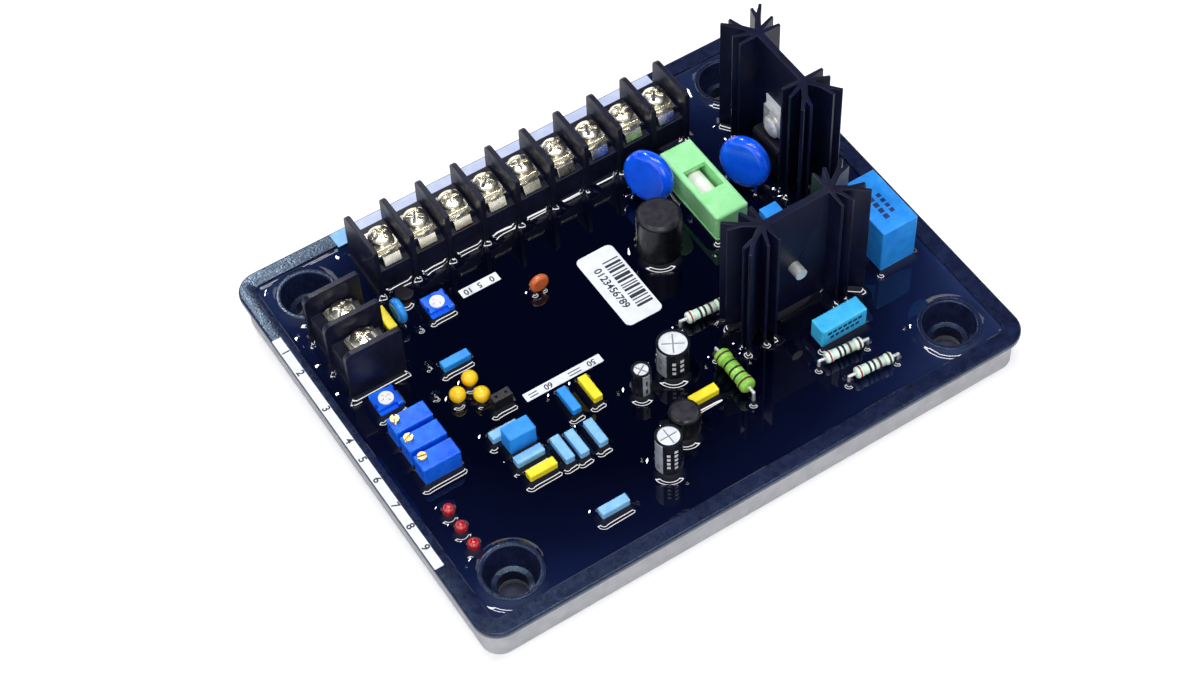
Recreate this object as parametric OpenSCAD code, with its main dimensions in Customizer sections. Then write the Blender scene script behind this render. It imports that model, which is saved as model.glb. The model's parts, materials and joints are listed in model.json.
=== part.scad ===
// Potted automatic voltage regulator for a generator.
// A black potting tray with four mounting cups sits in a pale base shell. It holds a circuit
// board under poured resin, and the tall parts of the circuit stand up out of the resin.
// X runs along the long terminal row, Y across the case, Z up from the mounting face.

/* [Case] */
// Length of the rim along X
case_w = 145; // [143:0.5:170]
// Width of the rim along Y
case_d = 116; // [115:0.5:140]
// Height of the rim above the mounting face
case_h = 11; // [10.5:0.1:14]
// Radius of the rim's corners
corner_r = 6; // [4.5:0.1:9]
// Width of the flat rim
rim_w = 4.2; // [3.9:0.1:5]
// Thickness of the rim's flange
flange_t = 1.4; // [1:0.1:2.5]
// How far the flange stands out past the base shell
flange_overhang = 1.5; // [0.5:0.1:1.8]
// Wall of the base shell
shell_wall = 1.4; // [1:0.1:1.6]
// Floor of the base shell
shell_floor = 1.4; // [1:0.1:2]
// Floor of the potting tray
tray_floor = 1.4; // [1:0.1:2]
// Clearance between the potting tray and the base shell
tray_gap = 0.15; // [0.05:0.05:0.3]
// Radius of the small outer edges of the case mouldings
case_edge_r = 0.5; // [0.2:0.1:0.6]

/* [Board and resin] */
// Thickness of the circuit board
board_t = 1.6; // [0.8:0.1:2.4]
// Height of the board above the tray's floor
board_lift = 1.45; // [1:0.05:2]
// Distance from the board's edge to the tray's wall
board_edge = 1.5; // [1:0.1:3]
// How far the resin's surface lies under the rim
resin_drop = 1.2; // [0.6:0.1:2]
// Clearance between the resin and what it surrounds
resin_gap = 0.03; // [0.02:0.01:0.1]

/* [Mounting cups] */
// Distance of the cups from the rim's short edges
cup_inset_x = 13.75; // [13:0.25:16]
// Distance of the cups from the rim's long edges
cup_inset_y = 12.8; // [12.4:0.1:15]
// Outer diameter of a cup
cup_d = 15; // [14:0.1:16]
// Diameter of a cup's mouth
cup_mouth_d = 12.4; // [11.5:0.1:13]
// Diameter of a cup's floor
cup_floor_d = 9.6; // [8.6:0.1:11]
// Height of a cup's floor above the mounting face
cup_floor_z = 5; // [3.5:0.1:6]
// How far a cup's lip stands above the rim
cup_proud = 0; // [-0.4:0.1:0.6]
// Radius of the edges of a cup's lip
cup_lip_r = 0.4; // [0.2:0.05:0.5]
// Diameter of the bolt holes
bolt_d = 7; // [5:0.1:8]

/* [Terminal blocks] */
// Distance between neighbouring terminals
terminal_pitch = 9.5; // [9:0.1:9.7]
// Poles of the long block
long_poles = 9; // [7:1:9]
// Poles of the short block
short_poles = 2; // [1:1:2]
// Share of its free room by which the long block stands off the middle
long_shift = -0.2; // [-1:0.05:1]
// Thickness of the barrier walls
barrier_t = 1.3; // [1:0.1:1.6]
// Length of the barrier walls
barrier_l = 14.4; // [13:0.1:15]
// Height of the barrier walls above the board
barrier_h = 20; // [19:0.1:24]
// Radius of a barrier's outer tip
barrier_tip_r = 2; // [0.5:0.1:3]
// Radius of a barrier's inner tip
barrier_heel_r = 0.8; // [0.3:0.1:2]
// Depth of the block's body between the barriers
block_l = 12.4; // [11.5:0.1:13]
// Height of the deck that carries the terminal plates
deck_h = 13.2; // [11:0.1:14]
// Depth of the low ledge along the body's inner side
ledge_l = 2.2; // [1.6:0.1:2.6]
// Width of a terminal plate
plate_w = 6.6; // [6.4:0.1:7.2]
// Thickness of a terminal plate
plate_t = 0.9; // [0.6:0.1:1.2]
// Width of a terminal plate's bent tab
plate_tab_w = 4.5; // [3:0.1:6]
// How far a terminal plate's bent tab hangs down to the ledge
plate_tab_h = 1.8; // [1:0.1:3]
// Side of the square clamp washers
clamp_w = 6.3; // [6:0.1:6.8]
// Thickness of the clamp washers
clamp_t = 0.8; // [0.5:0.1:1.2]
// Thread diameter of the terminal screws
terminal_screw_d = 3.5; // [3:0.1:4]
// Head diameter of the terminal screws
terminal_head_d = 5.9; // [5.5:0.1:6.2]
// Head height of the terminal screws
terminal_head_h = 2.1; // [1.6:0.1:2.6]
// Length of the terminal screws under the head
terminal_screw_l = 8; // [6:0.5:10]
// Radial clearance round a screw's shank
screw_gap = 0.05; // [0.02:0.01:0.1]

/* [Heat sinks] */
// Width of a heat sink's profile along its plate
sink_w = 32.7; // [32:0.1:34]
// Depth of a heat sink's profile across its plate
sink_depth = 11.3; // [10.6:0.1:12]
// Height of a heat sink above the board
sink_h = 39.2; // [34:0.1:45]
// Thickness of a heat sink's plate
sink_plate_t = 1.8; // [1.4:0.1:2.2]
// Half of the clear width of the plate between the fin groups
sink_clear = 8.1; // [7.8:0.1:9]
// Thickness of a fin at its root
fin_root_t = 1.3; // [1:0.1:1.6]
// Thickness of a fin at its tip
fin_tip_t = 0.7; // [0.5:0.1:1]
// Distance between the rear heat sink and its mounting cup
sink_cup_gap = 2.85; // [1:0.05:4]

/* [Transistors] */
// Width of a power transistor
device_w = 10; // [9:0.1:10.6]
// Height of a power transistor's moulded body
device_body_h = 9.2; // [8:0.1:10]
// Thickness of a power transistor
device_t = 4.4; // [4:0.1:4.8]
// Thickness of a power transistor's metal tab
device_tab_t = 1.3; // [1:0.1:1.5]
// Height of a transistor's lower end above the board
device_lift = 6.5; // [5:0.1:8]
// Distance of the tab's hole from its upper end
device_hole_drop = 2.9; // [2.7:0.1:3.4]
// Offset of the front transistor along its heat sink
front_device_u = -0.6; // [-2:0.1:2]
// Distance between a power transistor's leads
lead_pitch = 2.54; // [2:0.01:3]
// Width of a power transistor's leads
device_lead_w = 0.9; // [0.6:0.1:1.2]
// Thickness of a power transistor's leads
device_lead_t = 0.5; // [0.3:0.1:0.7]
// Width of an insulating pad
pad_w = 11.6; // [11:0.1:14]
// Distance between the rear insulating pad and the fins beside it
pad_side_gap = 0.1; // [0.05:0.05:0.5]
// Height of an insulating pad
pad_h = 18; // [17:0.1:19]
// Thickness of an insulating pad
pad_t = 0.25; // [0.1:0.05:0.4]
// Thread diameter of the transistor screws
device_screw_d = 3; // [2.5:0.1:3.4]
// Head diameter of the transistor screws
device_head_d = 5.6; // [5:0.1:6]
// Head height of the transistor screws
device_head_h = 2; // [1.5:0.1:2.4]
// Diameter of the transistor washers
device_washer_d = 6.6; // [6.2:0.1:7.6]
// Clearance between a transistor's washer and its moulded body
washer_gap = 0.15; // [0.05:0.05:0.3]
// Thickness of the transistor washers
device_washer_t = 0.5; // [0.3:0.1:0.8]
// Length of a transistor screw past the heat sink's plate
device_screw_end = 3; // [1:0.1:4]

/* [Fuse holder] */
// Length of the fuse
fuse_l = 20; // [18:0.1:22]
// Diameter of the fuse's end caps
fuse_cap_d = 5.2; // [4.6:0.1:5.6]
// Length of a fuse end cap
fuse_cap_l = 5; // [4:0.1:6]
// Diameter of the fuse's ceramic tube
fuse_tube_d = 4.8; // [4.2:0.1:5]
// Thickness of the fuse holder's end walls
fuse_end_t = 2.1; // [1.5:0.1:3]
// Thickness of the fuse carrier's side walls
fuse_side_t = 1.2; // [0.8:0.1:1.4]
// Thickness of the fuse carrier's roof
fuse_roof_t = 1.4; // [1:0.1:2]
// Height of the fuse base above the board
fuse_base_h = 5.2; // [4.5:0.1:6]
// Thickness of the fuse clips
clip_t = 0.4; // [0.3:0.05:0.5]
// Length of a fuse clip along the fuse
clip_l = 4; // [3:0.1:5]
// Clearance round the fuse in its clips and carrier
fuse_gap = 0.15; // [0.05:0.05:0.3]
// Length of the window in the fuse carrier
window_l = 8; // [5:0.1:9]
// Width of the window in the fuse carrier
window_w = 6.2; // [4:0.1:6.4]

/* [Adjusters] */
// Length of a multi-turn trimmer
multi_l = 9.5; // [9:0.1:10]
// Width of a multi-turn trimmer
multi_w = 4.8; // [4.4:0.1:5.4]
// Height of a multi-turn trimmer above the board
multi_h = 10.1; // [9:0.1:12]
// Distance between neighbouring multi-turn trimmers
multi_pitch = 6; // [5.5:0.1:6.2]
// Diameter of a multi-turn trimmer's screw
multi_screw_d = 2.2; // [1.8:0.1:2.4]
// Distances of a multi-turn trimmer's screw from the sides of its corner
multi_screw_inset = [1.55, 1.5]; // [1.3:0.05:2.4]
// How far a multi-turn trimmer's screw stands proud
multi_screw_proud = 0.9; // [0.3:0.1:1.2]
// Side of a single-turn trimmer
single_w = 6.2; // [5.8:0.1:6.8]
// Height of a single-turn trimmer above the board
single_h = 6; // [5.5:0.1:7]
// Diameter of a single-turn trimmer's rotor
rotor_d = 3.6; // [3:0.1:4]
// How far a single-turn trimmer's rotor stands proud
rotor_proud = 0.25; // [0.1:0.05:0.6]
// Depth of the seats of rotors and adjusting screws
rotor_seat = 1.6; // [1.2:0.1:2.5]
// Radial clearance of rotors and adjusting screws
rotor_gap = 0.05; // [0.02:0.01:0.1]

/* [Capacitors] */
// Length of a small film capacitor
film_l = 7.2; // [6.8:0.1:7.6]
// Width of a small film capacitor
film_w = 2.4; // [2:0.1:2.6]
// Height of a small film capacitor above the board
film_h = 6.5; // [5.5:0.1:8]
// Length, width and height of the tall film capacitor
tall_film = [6.9, 4.3, 10]; // [3:0.1:12]
// Length, width and height of the medium film capacitor
medium_film = [12.5, 4.6, 10]; // [4:0.1:14]
// Length, width and height of the film capacitor behind the front heat sink
hidden_film = [12, 4.8, 9.2]; // [4:0.1:13]
// Length, width and height of the large film capacitor
large_film = [17.2, 9.8, 18]; // [8:0.1:20]
// Radius of the film capacitors' edges
film_edge_r = 0.4; // [0.2:0.1:0.6]
// Diameters of the electrolytic capacitors, front to back
can_d = [6.3, 4.6, 7.8]; // [4:0.1:9]
// Heights of the electrolytic capacitors, front to back
can_h = [15.3, 12, 13]; // [10:0.1:18]
// Thickness of the sleeves on the electrolytic capacitors
sleeve_t = 0.2; // [0.1:0.05:0.3]
// Diameter of the bead capacitors
bead_d = 3.9; // [3.4:0.1:4.2]
// Height of a bead capacitor's centre above the resin
bead_rise = 2.6; // [2.2:0.1:4]
// Diameter of a bead capacitor's neck
bead_stem_d = 2.2; // [1.5:0.1:2.6]

/* [Discs] */
// Diameter of the varistors
varistor_d = 13.4; // [11:0.1:13.6]
// Thickness of the varistors
varistor_t = 3.8; // [3:0.1:4.4]
// Height of a varistor's centre above the resin
varistor_rise = 8.1; // [7.4:0.1:10]
// Turn of the varistors about the upright
varistor_turn = 24; // [0:1:30]
// Backward lean of the varistors
varistor_lean = 14; // [0:1:18]
// Distance between a varistor's leads
varistor_span = 7.5; // [5:0.5:8.5]
// Distance between the small discs' leads
small_disc_span = 2.5; // [2:0.1:3.5]
// Diameter of the wire leads
lead_d = 0.8; // [0.5:0.1:1]
// Diameter of the small blue disc
blue_disc_d = 6.4; // [5:0.1:7]
// Thickness of the small blue disc
blue_disc_t = 2.2; // [1.6:0.1:2.4]
// Height of the small blue disc's centre above the resin
blue_disc_rise = 3.6; // [3.6:0.1:5]
// Diameter of the small orange disc
orange_disc_d = 5; // [4:0.1:5.4]
// Thickness of the small orange disc
orange_disc_t = 1.8; // [1.4:0.1:2.4]
// Height of the small orange disc's centre above the resin
orange_disc_rise = 2.8; // [2.8:0.1:4]

/* [Chokes and resistors] */
// Diameters of the chokes over their sleeves, large and small
choke_d = [10.8, 7.2]; // [5:0.1:11.5]
// Heights of the chokes above the board, large and small
choke_h = [17.3, 11]; // [9:0.1:20]
// Diameters of the chokes' waists, large and small
choke_waist_d = [4.9, 3.5]; // [3:0.1:6]
// Thickness of the chokes' flanges
choke_flange_t = 2; // [1.5:0.1:2.6]
// Thickness of the chokes' sleeves
choke_sleeve_t = 0.4; // [0.2:0.05:0.6]
// Bevel on the chokes' upper flanges as a share of their diameter
choke_bevel = 0.07; // [0.03:0.01:0.1]
// Length and diameter of the power resistor
power_resistor = [11.6, 4]; // [3:0.1:13]
// Length and diameter of the small resistors
small_resistor = [9.6, 2.8]; // [2:0.1:11]
// Height of the power resistor's axis above the resin
power_resistor_rise = 3.5; // [2.4:0.1:5]
// Height of the small resistors' axes above the resin
small_resistor_rise = 2.4; // [1.8:0.1:4]
// Turn of the small resistors about the upright
small_resistor_turn = -5; // [-10:1:10]

/* [Small parts] */
// Diameter of an indicator lamp
led_d = 2.9; // [2.5:0.1:3.2]
// Height of an indicator lamp above the board
led_h = 6.6; // [5.8:0.1:8]
// Distance between neighbouring indicator lamps
led_pitch = 5.3; // [4:0.1:6]
// Distance of the indicator lamps from the tray's wall
led_inset = 6.3; // [4:0.1:7]
// Distance between the front indicator lamp and its mounting cup
led_cup_gap = 1.25; // [0.5:0.05:3]
// Side of the small transistor's body
small_transistor_d = 4.4; // [4:0.1:4.8]
// Height of the small transistor above the board
small_transistor_h = 6; // [5.4:0.1:7]
// Distance between the small transistor and the long block
small_transistor_gap = 1; // [0.5:0.1:2]
// Turn of the small transistor's flat side about the upright
small_transistor_turn = 120; // [0:1:360]
// Length and width of the jumper header
header = [5, 2.5]; // [2:0.1:6]
// Height of the jumper header's base above the board
header_h = 2.5; // [2:0.1:3]
// Height of the jumper cap
jumper_h = 5.5; // [4.5:0.1:6.5]
// Distance between the jumper header's pins
pin_pitch = 2.54; // [2:0.01:2.6]
// Side of the jumper header's pins
pin_t = 0.64; // [0.5:0.01:0.7]

/* [Hidden] */
$fn = 48;
// Heights that follow from the case
tray_z = shell_floor + tray_gap;
cavity_z = tray_z + tray_floor;
board_z = cavity_z + board_lift;
board_top = board_z + board_t;
resin_top = case_h - resin_drop;
flange_z = case_h - flange_t;
// Outlines that follow from the case
shell_size = [case_w, case_d] - 2 * flange_overhang * [1, 1];
shell_r = corner_r - flange_overhang;
shell_inner = shell_size - 2 * shell_wall * [1, 1];
shell_inner_r = shell_r - shell_wall;
tray_outer = shell_inner - 2 * tray_gap * [1, 1];
tray_outer_r = shell_inner_r - tray_gap;
cavity = [case_w, case_d] - 2 * rim_w * [1, 1];
cavity_r = max(0.6, corner_r - rim_w);
board_size = cavity - 2 * board_edge * [1, 1];
cup_at = [case_w / 2 - cup_inset_x, case_d / 2 - cup_inset_y];
// Screw stack of a terminal
plate_top = deck_h + plate_t;
clamp_top = plate_top + clamp_t;
step_y = -block_l / 2 + ledge_l;
plate_l = terminal_screw_d - step_y;
// Transistor stack on a heat sink's plate, measured from the plate's middle
pad_v = sink_plate_t / 2;
tab_v = pad_v + pad_t;
body_v = tab_v + device_tab_t;
device_front_v = tab_v + device_t;
device_hole_z = device_lift + device_body_h + washer_gap + device_washer_d / 2;
device_tab_h = device_hole_z - device_lift + device_hole_drop;
lead_v = body_v + 0.6;
rear_device_u = pad_w / 2 + pad_side_gap - sink_clear;
// Fuse holder's sizes round the fuse
fuse_inner_l = fuse_l + 2 * fuse_gap;
fuse_holder_l = fuse_inner_l + 2 * fuse_end_t;
clip_gap = fuse_cap_d + 2 * fuse_gap;
fuse_inner_w = clip_gap + 2 * clip_t + 2 * fuse_gap;
fuse_holder_w = fuse_inner_w + 2 * fuse_side_t;
fuse_axis_z = fuse_base_h + clip_t + 2 * fuse_gap + fuse_cap_d / 2;
fuse_roof_z = fuse_axis_z + fuse_cap_d / 2 + 2 * fuse_gap;
fuse_top = fuse_roof_z + fuse_roof_t;
clip_at = fuse_l / 2 - fuse_cap_l / 2;
// Adjusting screw of a multi-turn trimmer, off its corner
multi_screw_at = [-multi_l / 2 + multi_screw_inset.x, multi_w / 2 - multi_screw_inset.y];
multi_rows = [1, 0, -1];
// Depth of the resin over the board
resin_depth = resin_top - board_top;
// Size of the board that the places below were drawn for
drawn_board = [133.6, 104.6];

// Place on the board, which moves with the board's edges
function spot(at) = [at.x * board_size.x / drawn_board.x, at.y * board_size.y / drawn_board.y];

// Place of a part that keeps its drawn distance from the leader of its group
function near(at, leader) = spot(leader) + at - leader;

// Leaders of the groups
film_leader = [-39.6, -17.5];
jumper_leader = [-37.4, -6.5];
can_leader = [0.2, -19.5];
front_leader = [32.9, -19.8];
rear_leader = [55.9, 18.5];
// Places of the terminal blocks: the long one keeps clear of the cups at its ends
long_room = cup_at.x - cup_d / 2 - (long_poles * terminal_pitch + barrier_t) / 2;
long_block_at = [long_shift * long_room, spot([0, 42.4]).y];
short_block_at = spot([-57.5, 23.6]);
// Places of the heat sinks and the fuse holder
front_sink_at = spot(front_leader);
rear_sink_at = [spot(rear_leader).x, cup_at.y - cup_d / 2 - sink_cup_gap - sink_w / 2];
fuse_at = spot([33.2, 16.8]);
// Places of the adjusters
multi_at = spot([-58, -7.6]);
rear_single_at = spot([-35.3, 25.4]);
front_single_at = spot([-58.7, 8.4]);
// Places of the larger film capacitors
tall_film_at = spot(film_leader);
medium_film_at = near([37.2, -32], front_leader);
hidden_film_at = spot([42.6, -1.9]);
large_film_at = spot([59.9, -15.5]);
// Places of the small film capacitors: middle and turn
pale_films = [
    [near([-40.1, -22.5], film_leader), 0],
    [near([-33.1, -25.2], film_leader), 90],
    [near([-29.6, -25.7], film_leader), 90],
    [near([-24.6, -25.6], film_leader), 90],
    [spot([-31.8, -44.1]), 0],
    [near([-41.3, -13.9], film_leader), 0]
];
blue_films = [[spot([-40.2, 9]), 0], [near([-24.8, -14.9], film_leader), 90]];
yellow_films = [
    [near([-39.7, -27.1], film_leader), 0],
    [near([-19.1, -14.8], film_leader), 90],
    [near([0.9, -30.6], can_leader), 0],
    [spot([-47.5, 28]), 90]
];
// Places of the electrolytic capacitors, front to back
can_at = [near([-15.4, -41.1], can_leader), near([-9.3, -20.9], can_leader), spot(can_leader)];
// Places of the jumper header and of the bead capacitors beside it
header_at = spot(jumper_leader);
bead_at = [for (at = [[-40.4, 2.3], [-45, -0.1], [-40.4, -3]]) near(at, jumper_leader)];
// Places of the discs
left_varistor_at = spot([23.3, 25.2]);
right_varistor_at = near([44.6, 16], rear_leader);
blue_disc_at = spot([-44.4, 27.2]);
orange_disc_at = spot([-13.1, 16.4]);
// Places of the chokes, large and small
choke_at = [spot([16.6, 10.7]), near([-7.1, -35], can_leader)];
// Places of the resistors
power_resistor_at = near([9.8, -30], can_leader);
small_resistor_at = [for (at = [[33.8, -38.5], [36.9, -45.7], [14.2, -11.6]]) near(at, front_leader)];
// Row of indicator lamps, front to back
front_led_y = -cup_at.y + cup_d / 2 + led_cup_gap + led_d / 2;
led_at = [for (i = [0 : 2]) [-cavity.x / 2 + led_inset, front_led_y + i * led_pitch]];
// Place of the small transistor, in front of the long block
small_transistor_y = long_block_at.y - barrier_l / 2 - small_transistor_gap - small_transistor_d / 2;
small_transistor_at = [spot([-40.2, 0]).x, small_transistor_y];
// Colours
black_plastic = [0.10, 0.11, 0.14];
resin_black = [0.02, 0.03, 0.08];
pale_grey = [0.72, 0.72, 0.74];
nickel = [0.78, 0.76, 0.68];
film_blue = [0.13, 0.52, 0.86];
pale_blue = [0.55, 0.76, 0.95];
trimmer_blue = [0.03, 0.28, 0.85];
sun_yellow = [0.98, 0.84, 0.05];
fuse_green = [0.50, 0.86, 0.52];

// Rectangle about the origin with round corners
module rounded_rect(size, r) {
    square([size.x - 2 * r, size.y], center = true);
    square([size.x, size.y - 2 * r], center = true);
    for (sx = [-1, 1], sy = [-1, 1])
        translate([sx * (size.x / 2 - r), sy * (size.y / 2 - r)])
            circle(r);
}

// Upright box on the XY plane, about the Z axis, with rounded edges all over
module soft_box(size, r) {
    intersection() {
        linear_extrude(size.z)
            rounded_rect([size.x, size.y], r);
        translate([0, size.y / 2, size.z / 2])
            rotate([90, 0, 0])
                linear_extrude(size.y)
                    rounded_rect([size.x, size.z], r);
        translate([-size.x / 2, 0, size.z / 2])
            rotate([90, 0, 90])
                linear_extrude(size.x)
                    rounded_rect([size.y, size.z], r);
    }
}

// Puts its children on the board at a place, turned about the upright
module on_board(at, turn = 0) {
    translate([at.x, at.y, board_top])
        rotate([0, 0, turn])
            children();
}

module at_cups() {
    for (sx = [-1, 1], sy = [-1, 1])
        translate([sx * cup_at.x, sy * cup_at.y, 0])
            children();
}

// Section of a plate that is rounded along its upper edges
module edged_section(w, t) {
    translate([-w / 2, 0])
        square([w, t - case_edge_r]);
    translate([-w / 2 + case_edge_r, 0])
        square([w - 2 * case_edge_r, t]);
    for (s = [-1, 1])
        translate([s * (w / 2 - case_edge_r), t - case_edge_r])
            circle(case_edge_r);
}

// Plate about the Z axis with round corners and a rounded upper edge
module edged_plate(size, r, t) {
    rotate([90, 0, 0])
        linear_extrude(size.y - 2 * r, center = true)
            edged_section(size.x, t);
    rotate([90, 0, 90])
        linear_extrude(size.x - 2 * r, center = true)
            edged_section(size.y, t);
    for (sx = [-1, 1], sy = [-1, 1])
        translate([sx * (size.x / 2 - r), sy * (size.y / 2 - r), 0])
            rotate_extrude()
                intersection() {
                    edged_section(2 * r, t);
                    square([r, t]);
                }
}

// Pale shell that the tray sits in
module base_shell() {
    color(pale_grey)
        difference() {
            union() {
                translate([0, 0, shell_floor])
                    linear_extrude(flange_z - shell_floor)
                        rounded_rect(shell_size, shell_r);
                translate([0, 0, shell_floor])
                    mirror([0, 0, 1])
                        edged_plate(shell_size, shell_r, shell_floor);
            }
            translate([0, 0, shell_floor])
                linear_extrude(case_h)
                    rounded_rect(shell_inner, shell_inner_r);
            at_cups()
                translate([0, 0, -1])
                    cylinder(d = bolt_d, h = shell_floor + 2);
        }
}

// Half section of a mounting cup: a tapered mouth over a shelf, with a flat lip round at its edges
module cup_section() {
    lip_z = case_h + cup_proud - cup_lip_r;
    difference() {
        translate([bolt_d / 2, tray_z])
            square([(cup_d - bolt_d) / 2, lip_z - tray_z]);
        polygon([
            [0, cup_floor_z],
            [cup_floor_d / 2, cup_floor_z],
            [cup_mouth_d / 2, lip_z],
            [cup_mouth_d / 2, case_h + 1],
            [0, case_h + 1]
        ]);
    }
    for (r = [cup_mouth_d / 2 + cup_lip_r, cup_d / 2 - cup_lip_r])
        translate([r, lip_z])
            circle(cup_lip_r);
    translate([cup_mouth_d / 2 + cup_lip_r, lip_z])
        square([(cup_d - cup_mouth_d) / 2 - 2 * cup_lip_r, cup_lip_r]);
}

// Black moulding: floor, wall, overhanging rim and the four mounting cups
module potting_tray() {
    color(black_plastic) {
        difference() {
            union() {
                translate([0, 0, tray_z])
                    linear_extrude(flange_z - tray_z)
                        rounded_rect(tray_outer, tray_outer_r);
                translate([0, 0, flange_z])
                    edged_plate([case_w, case_d], corner_r, flange_t);
            }
            translate([0, 0, cavity_z])
                linear_extrude(case_h)
                    rounded_rect(cavity, cavity_r);
            at_cups()
                cylinder(d = cup_d - cup_lip_r, h = case_h);
        }
        at_cups()
            rotate_extrude()
                cup_section();
    }
}

// Outline of the board: a rectangle with a square cut out at each cup
module board_outline() {
    cut = board_size / 2 - cup_at + (cup_d / 2 + board_edge) * [1, 1];
    square(board_size - [2 * cut.x, 0], center = true);
    square(board_size - [0, 2 * cut.y], center = true);
}

// Board that the resin covers
module circuit_board() {
    color([0.05, 0.25, 0.12])
        translate([0, 0, board_z])
            linear_extrude(board_t)
                board_outline();
}

module cup_holes(gap) {
    for (sx = [-1, 1], sy = [-1, 1])
        translate([sx * cup_at.x, sy * cup_at.y])
            circle(d = cup_d + 2 * gap);
}

// Section of a part at the resin's surface, with the resin's clearance
module round_foot(at, d) {
    translate(at)
        circle(d = d + 2 * resin_gap);
}

module box_foot(at, size, turn = 0) {
    translate(at)
        rotate(turn)
            square([size.x, size.y] + 2 * resin_gap * [1, 1], center = true);
}

module lead_feet(at, span, turn, d = lead_d) {
    translate(at)
        rotate(turn)
            for (s = [-1, 1])
                round_foot([s * span / 2, 0], d);
}

module disc_feet(at, turn, d, span, lean) {
    translate(at)
        rotate(turn)
            translate([-lead_drop(d, span) * sin(lean), 0])
                lead_feet([0, 0], span, 90);
}

module block_foot(poles) {
    for (i = [0 : poles])
        translate([(i - poles / 2) * terminal_pitch, 0])
            box_foot([0, 0], [barrier_t, barrier_l]);
    box_foot([0, 0], [poles * terminal_pitch, block_l]);
}

module sink_foot(offset_u) {
    sink_profile(resin_gap);
    for (i = [-1, 0, 1])
        box_foot([offset_u + i * lead_pitch, lead_v], [device_lead_w, device_lead_t]);
}

module feet() {
    translate(long_block_at)
        block_foot(long_poles);
    translate(short_block_at)
        rotate(90)
            block_foot(short_poles);
    translate(front_sink_at)
        sink_foot(front_device_u);
    translate(rear_sink_at)
        rotate(90)
            sink_foot(rear_device_u);
    box_foot(fuse_at, [fuse_holder_w, fuse_holder_l]);
    for (row = multi_rows)
        box_foot(multi_at + [0, row * multi_pitch], [multi_l, multi_w]);
    for (at = [rear_single_at, front_single_at])
        box_foot(at, [single_w, single_w]);
    box_foot(tall_film_at, tall_film);
    box_foot(medium_film_at, medium_film);
    box_foot(hidden_film_at, hidden_film, 90);
    box_foot(large_film_at, large_film, 90);
    for (film = concat(pale_films, blue_films, yellow_films))
        box_foot(film[0], [film_l, film_w], film[1]);
    for (i = [0 : len(can_at) - 1])
        round_foot(can_at[i], can_d[i]);
    for (i = [0 : len(choke_at) - 1])
        round_foot(choke_at[i], choke_d[i]);
    for (at = led_at)
        round_foot(at, led_d);
    for (at = bead_at)
        round_foot(at, bead_stem_d);
    translate(small_transistor_at)
        rotate(small_transistor_turn)
            flat_sided_round(resin_gap);
    box_foot(header_at, header);
    for (at = [left_varistor_at, right_varistor_at])
        disc_feet(at, varistor_turn, varistor_d, varistor_span, varistor_lean);
    disc_feet(blue_disc_at, 0, blue_disc_d, small_disc_span, 0);
    disc_feet(orange_disc_at, 90, orange_disc_d, small_disc_span, 0);
    lead_feet(power_resistor_at, resistor_span(power_resistor), 90);
    for (at = small_resistor_at)
        lead_feet(at, resistor_span(small_resistor), small_resistor_turn);
}

// Poured resin: it fills the tray round the board and comes up round every part
module potting_resin() {
    color(resin_black) {
        difference() {
            translate([0, 0, cavity_z])
                linear_extrude(board_top - cavity_z)
                    difference() {
                        rounded_rect(cavity, cavity_r);
                        cup_holes(resin_gap);
                    }
            translate([0, 0, board_z])
                linear_extrude(case_h)
                    board_outline();
        }
        translate([0, 0, board_top])
            linear_extrude(resin_depth)
                difference() {
                    rounded_rect(cavity, cavity_r);
                    cup_holes(resin_gap);
                    feet();
                }
    }
}

// Side outline of a barrier wall: Y to the right, Z up, round at the upper corners
module barrier_outline() {
    translate([-barrier_l / 2, 0]) {
        square([barrier_l, barrier_h - barrier_tip_r]);
        translate([barrier_heel_r, 0])
            square([barrier_l - barrier_heel_r - barrier_tip_r, barrier_h]);
        translate([0, 0])
            square([barrier_l - barrier_tip_r, barrier_h - barrier_heel_r]);
        translate([barrier_heel_r, barrier_h - barrier_heel_r])
            circle(barrier_heel_r);
        translate([barrier_l - barrier_tip_r, barrier_h - barrier_tip_r])
            circle(barrier_tip_r);
    }
}

// Repeats its children at every pole of a block
module at_poles(poles) {
    for (i = [0 : poles - 1])
        translate([(i + 0.5 - poles / 2) * terminal_pitch, 0, 0])
            children();
}

// Moulded housing of a barrier block: a body with walls between its poles
module block_housing(poles) {
    color(black_plastic)
        difference() {
            union() {
                translate([-poles * terminal_pitch / 2, -block_l / 2, 0])
                    cube([poles * terminal_pitch, block_l, deck_h - plate_tab_h]);
                translate([-poles * terminal_pitch / 2, step_y, 0])
                    cube([poles * terminal_pitch, block_l - ledge_l, deck_h]);
                for (i = [0 : poles])
                    translate([(i - poles / 2) * terminal_pitch - barrier_t / 2, 0, 0])
                        rotate([90, 0, 90])
                            linear_extrude(barrier_t)
                                barrier_outline();
            }
            at_poles(poles)
                translate([0, 0, clamp_top - terminal_screw_l - 0.5])
                    cylinder(d = terminal_screw_d + 2 * screw_gap, h = barrier_h);
        }
}

// Terminal plates with a tab bent down to the body's ledge
module block_plates(poles) {
    color(nickel)
        at_poles(poles)
            difference() {
                union() {
                    translate([-plate_w / 2, step_y, deck_h])
                        cube([plate_w, plate_l, plate_t]);
                    translate([-plate_tab_w / 2, step_y - plate_t, deck_h - plate_tab_h])
                        cube([plate_tab_w, plate_t, plate_tab_h + plate_t]);
                }
                cylinder(d = terminal_screw_d + 2 * screw_gap, h = barrier_h);
            }
}

// Square clamp washers under the screw heads
module block_clamps(poles) {
    color(nickel)
        at_poles(poles)
            translate([0, 0, plate_top])
                linear_extrude(clamp_t)
                    difference() {
                        rounded_rect([clamp_w, clamp_w], 0.6);
                        circle(d = terminal_screw_d + 2 * screw_gap);
                    }
}

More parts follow.
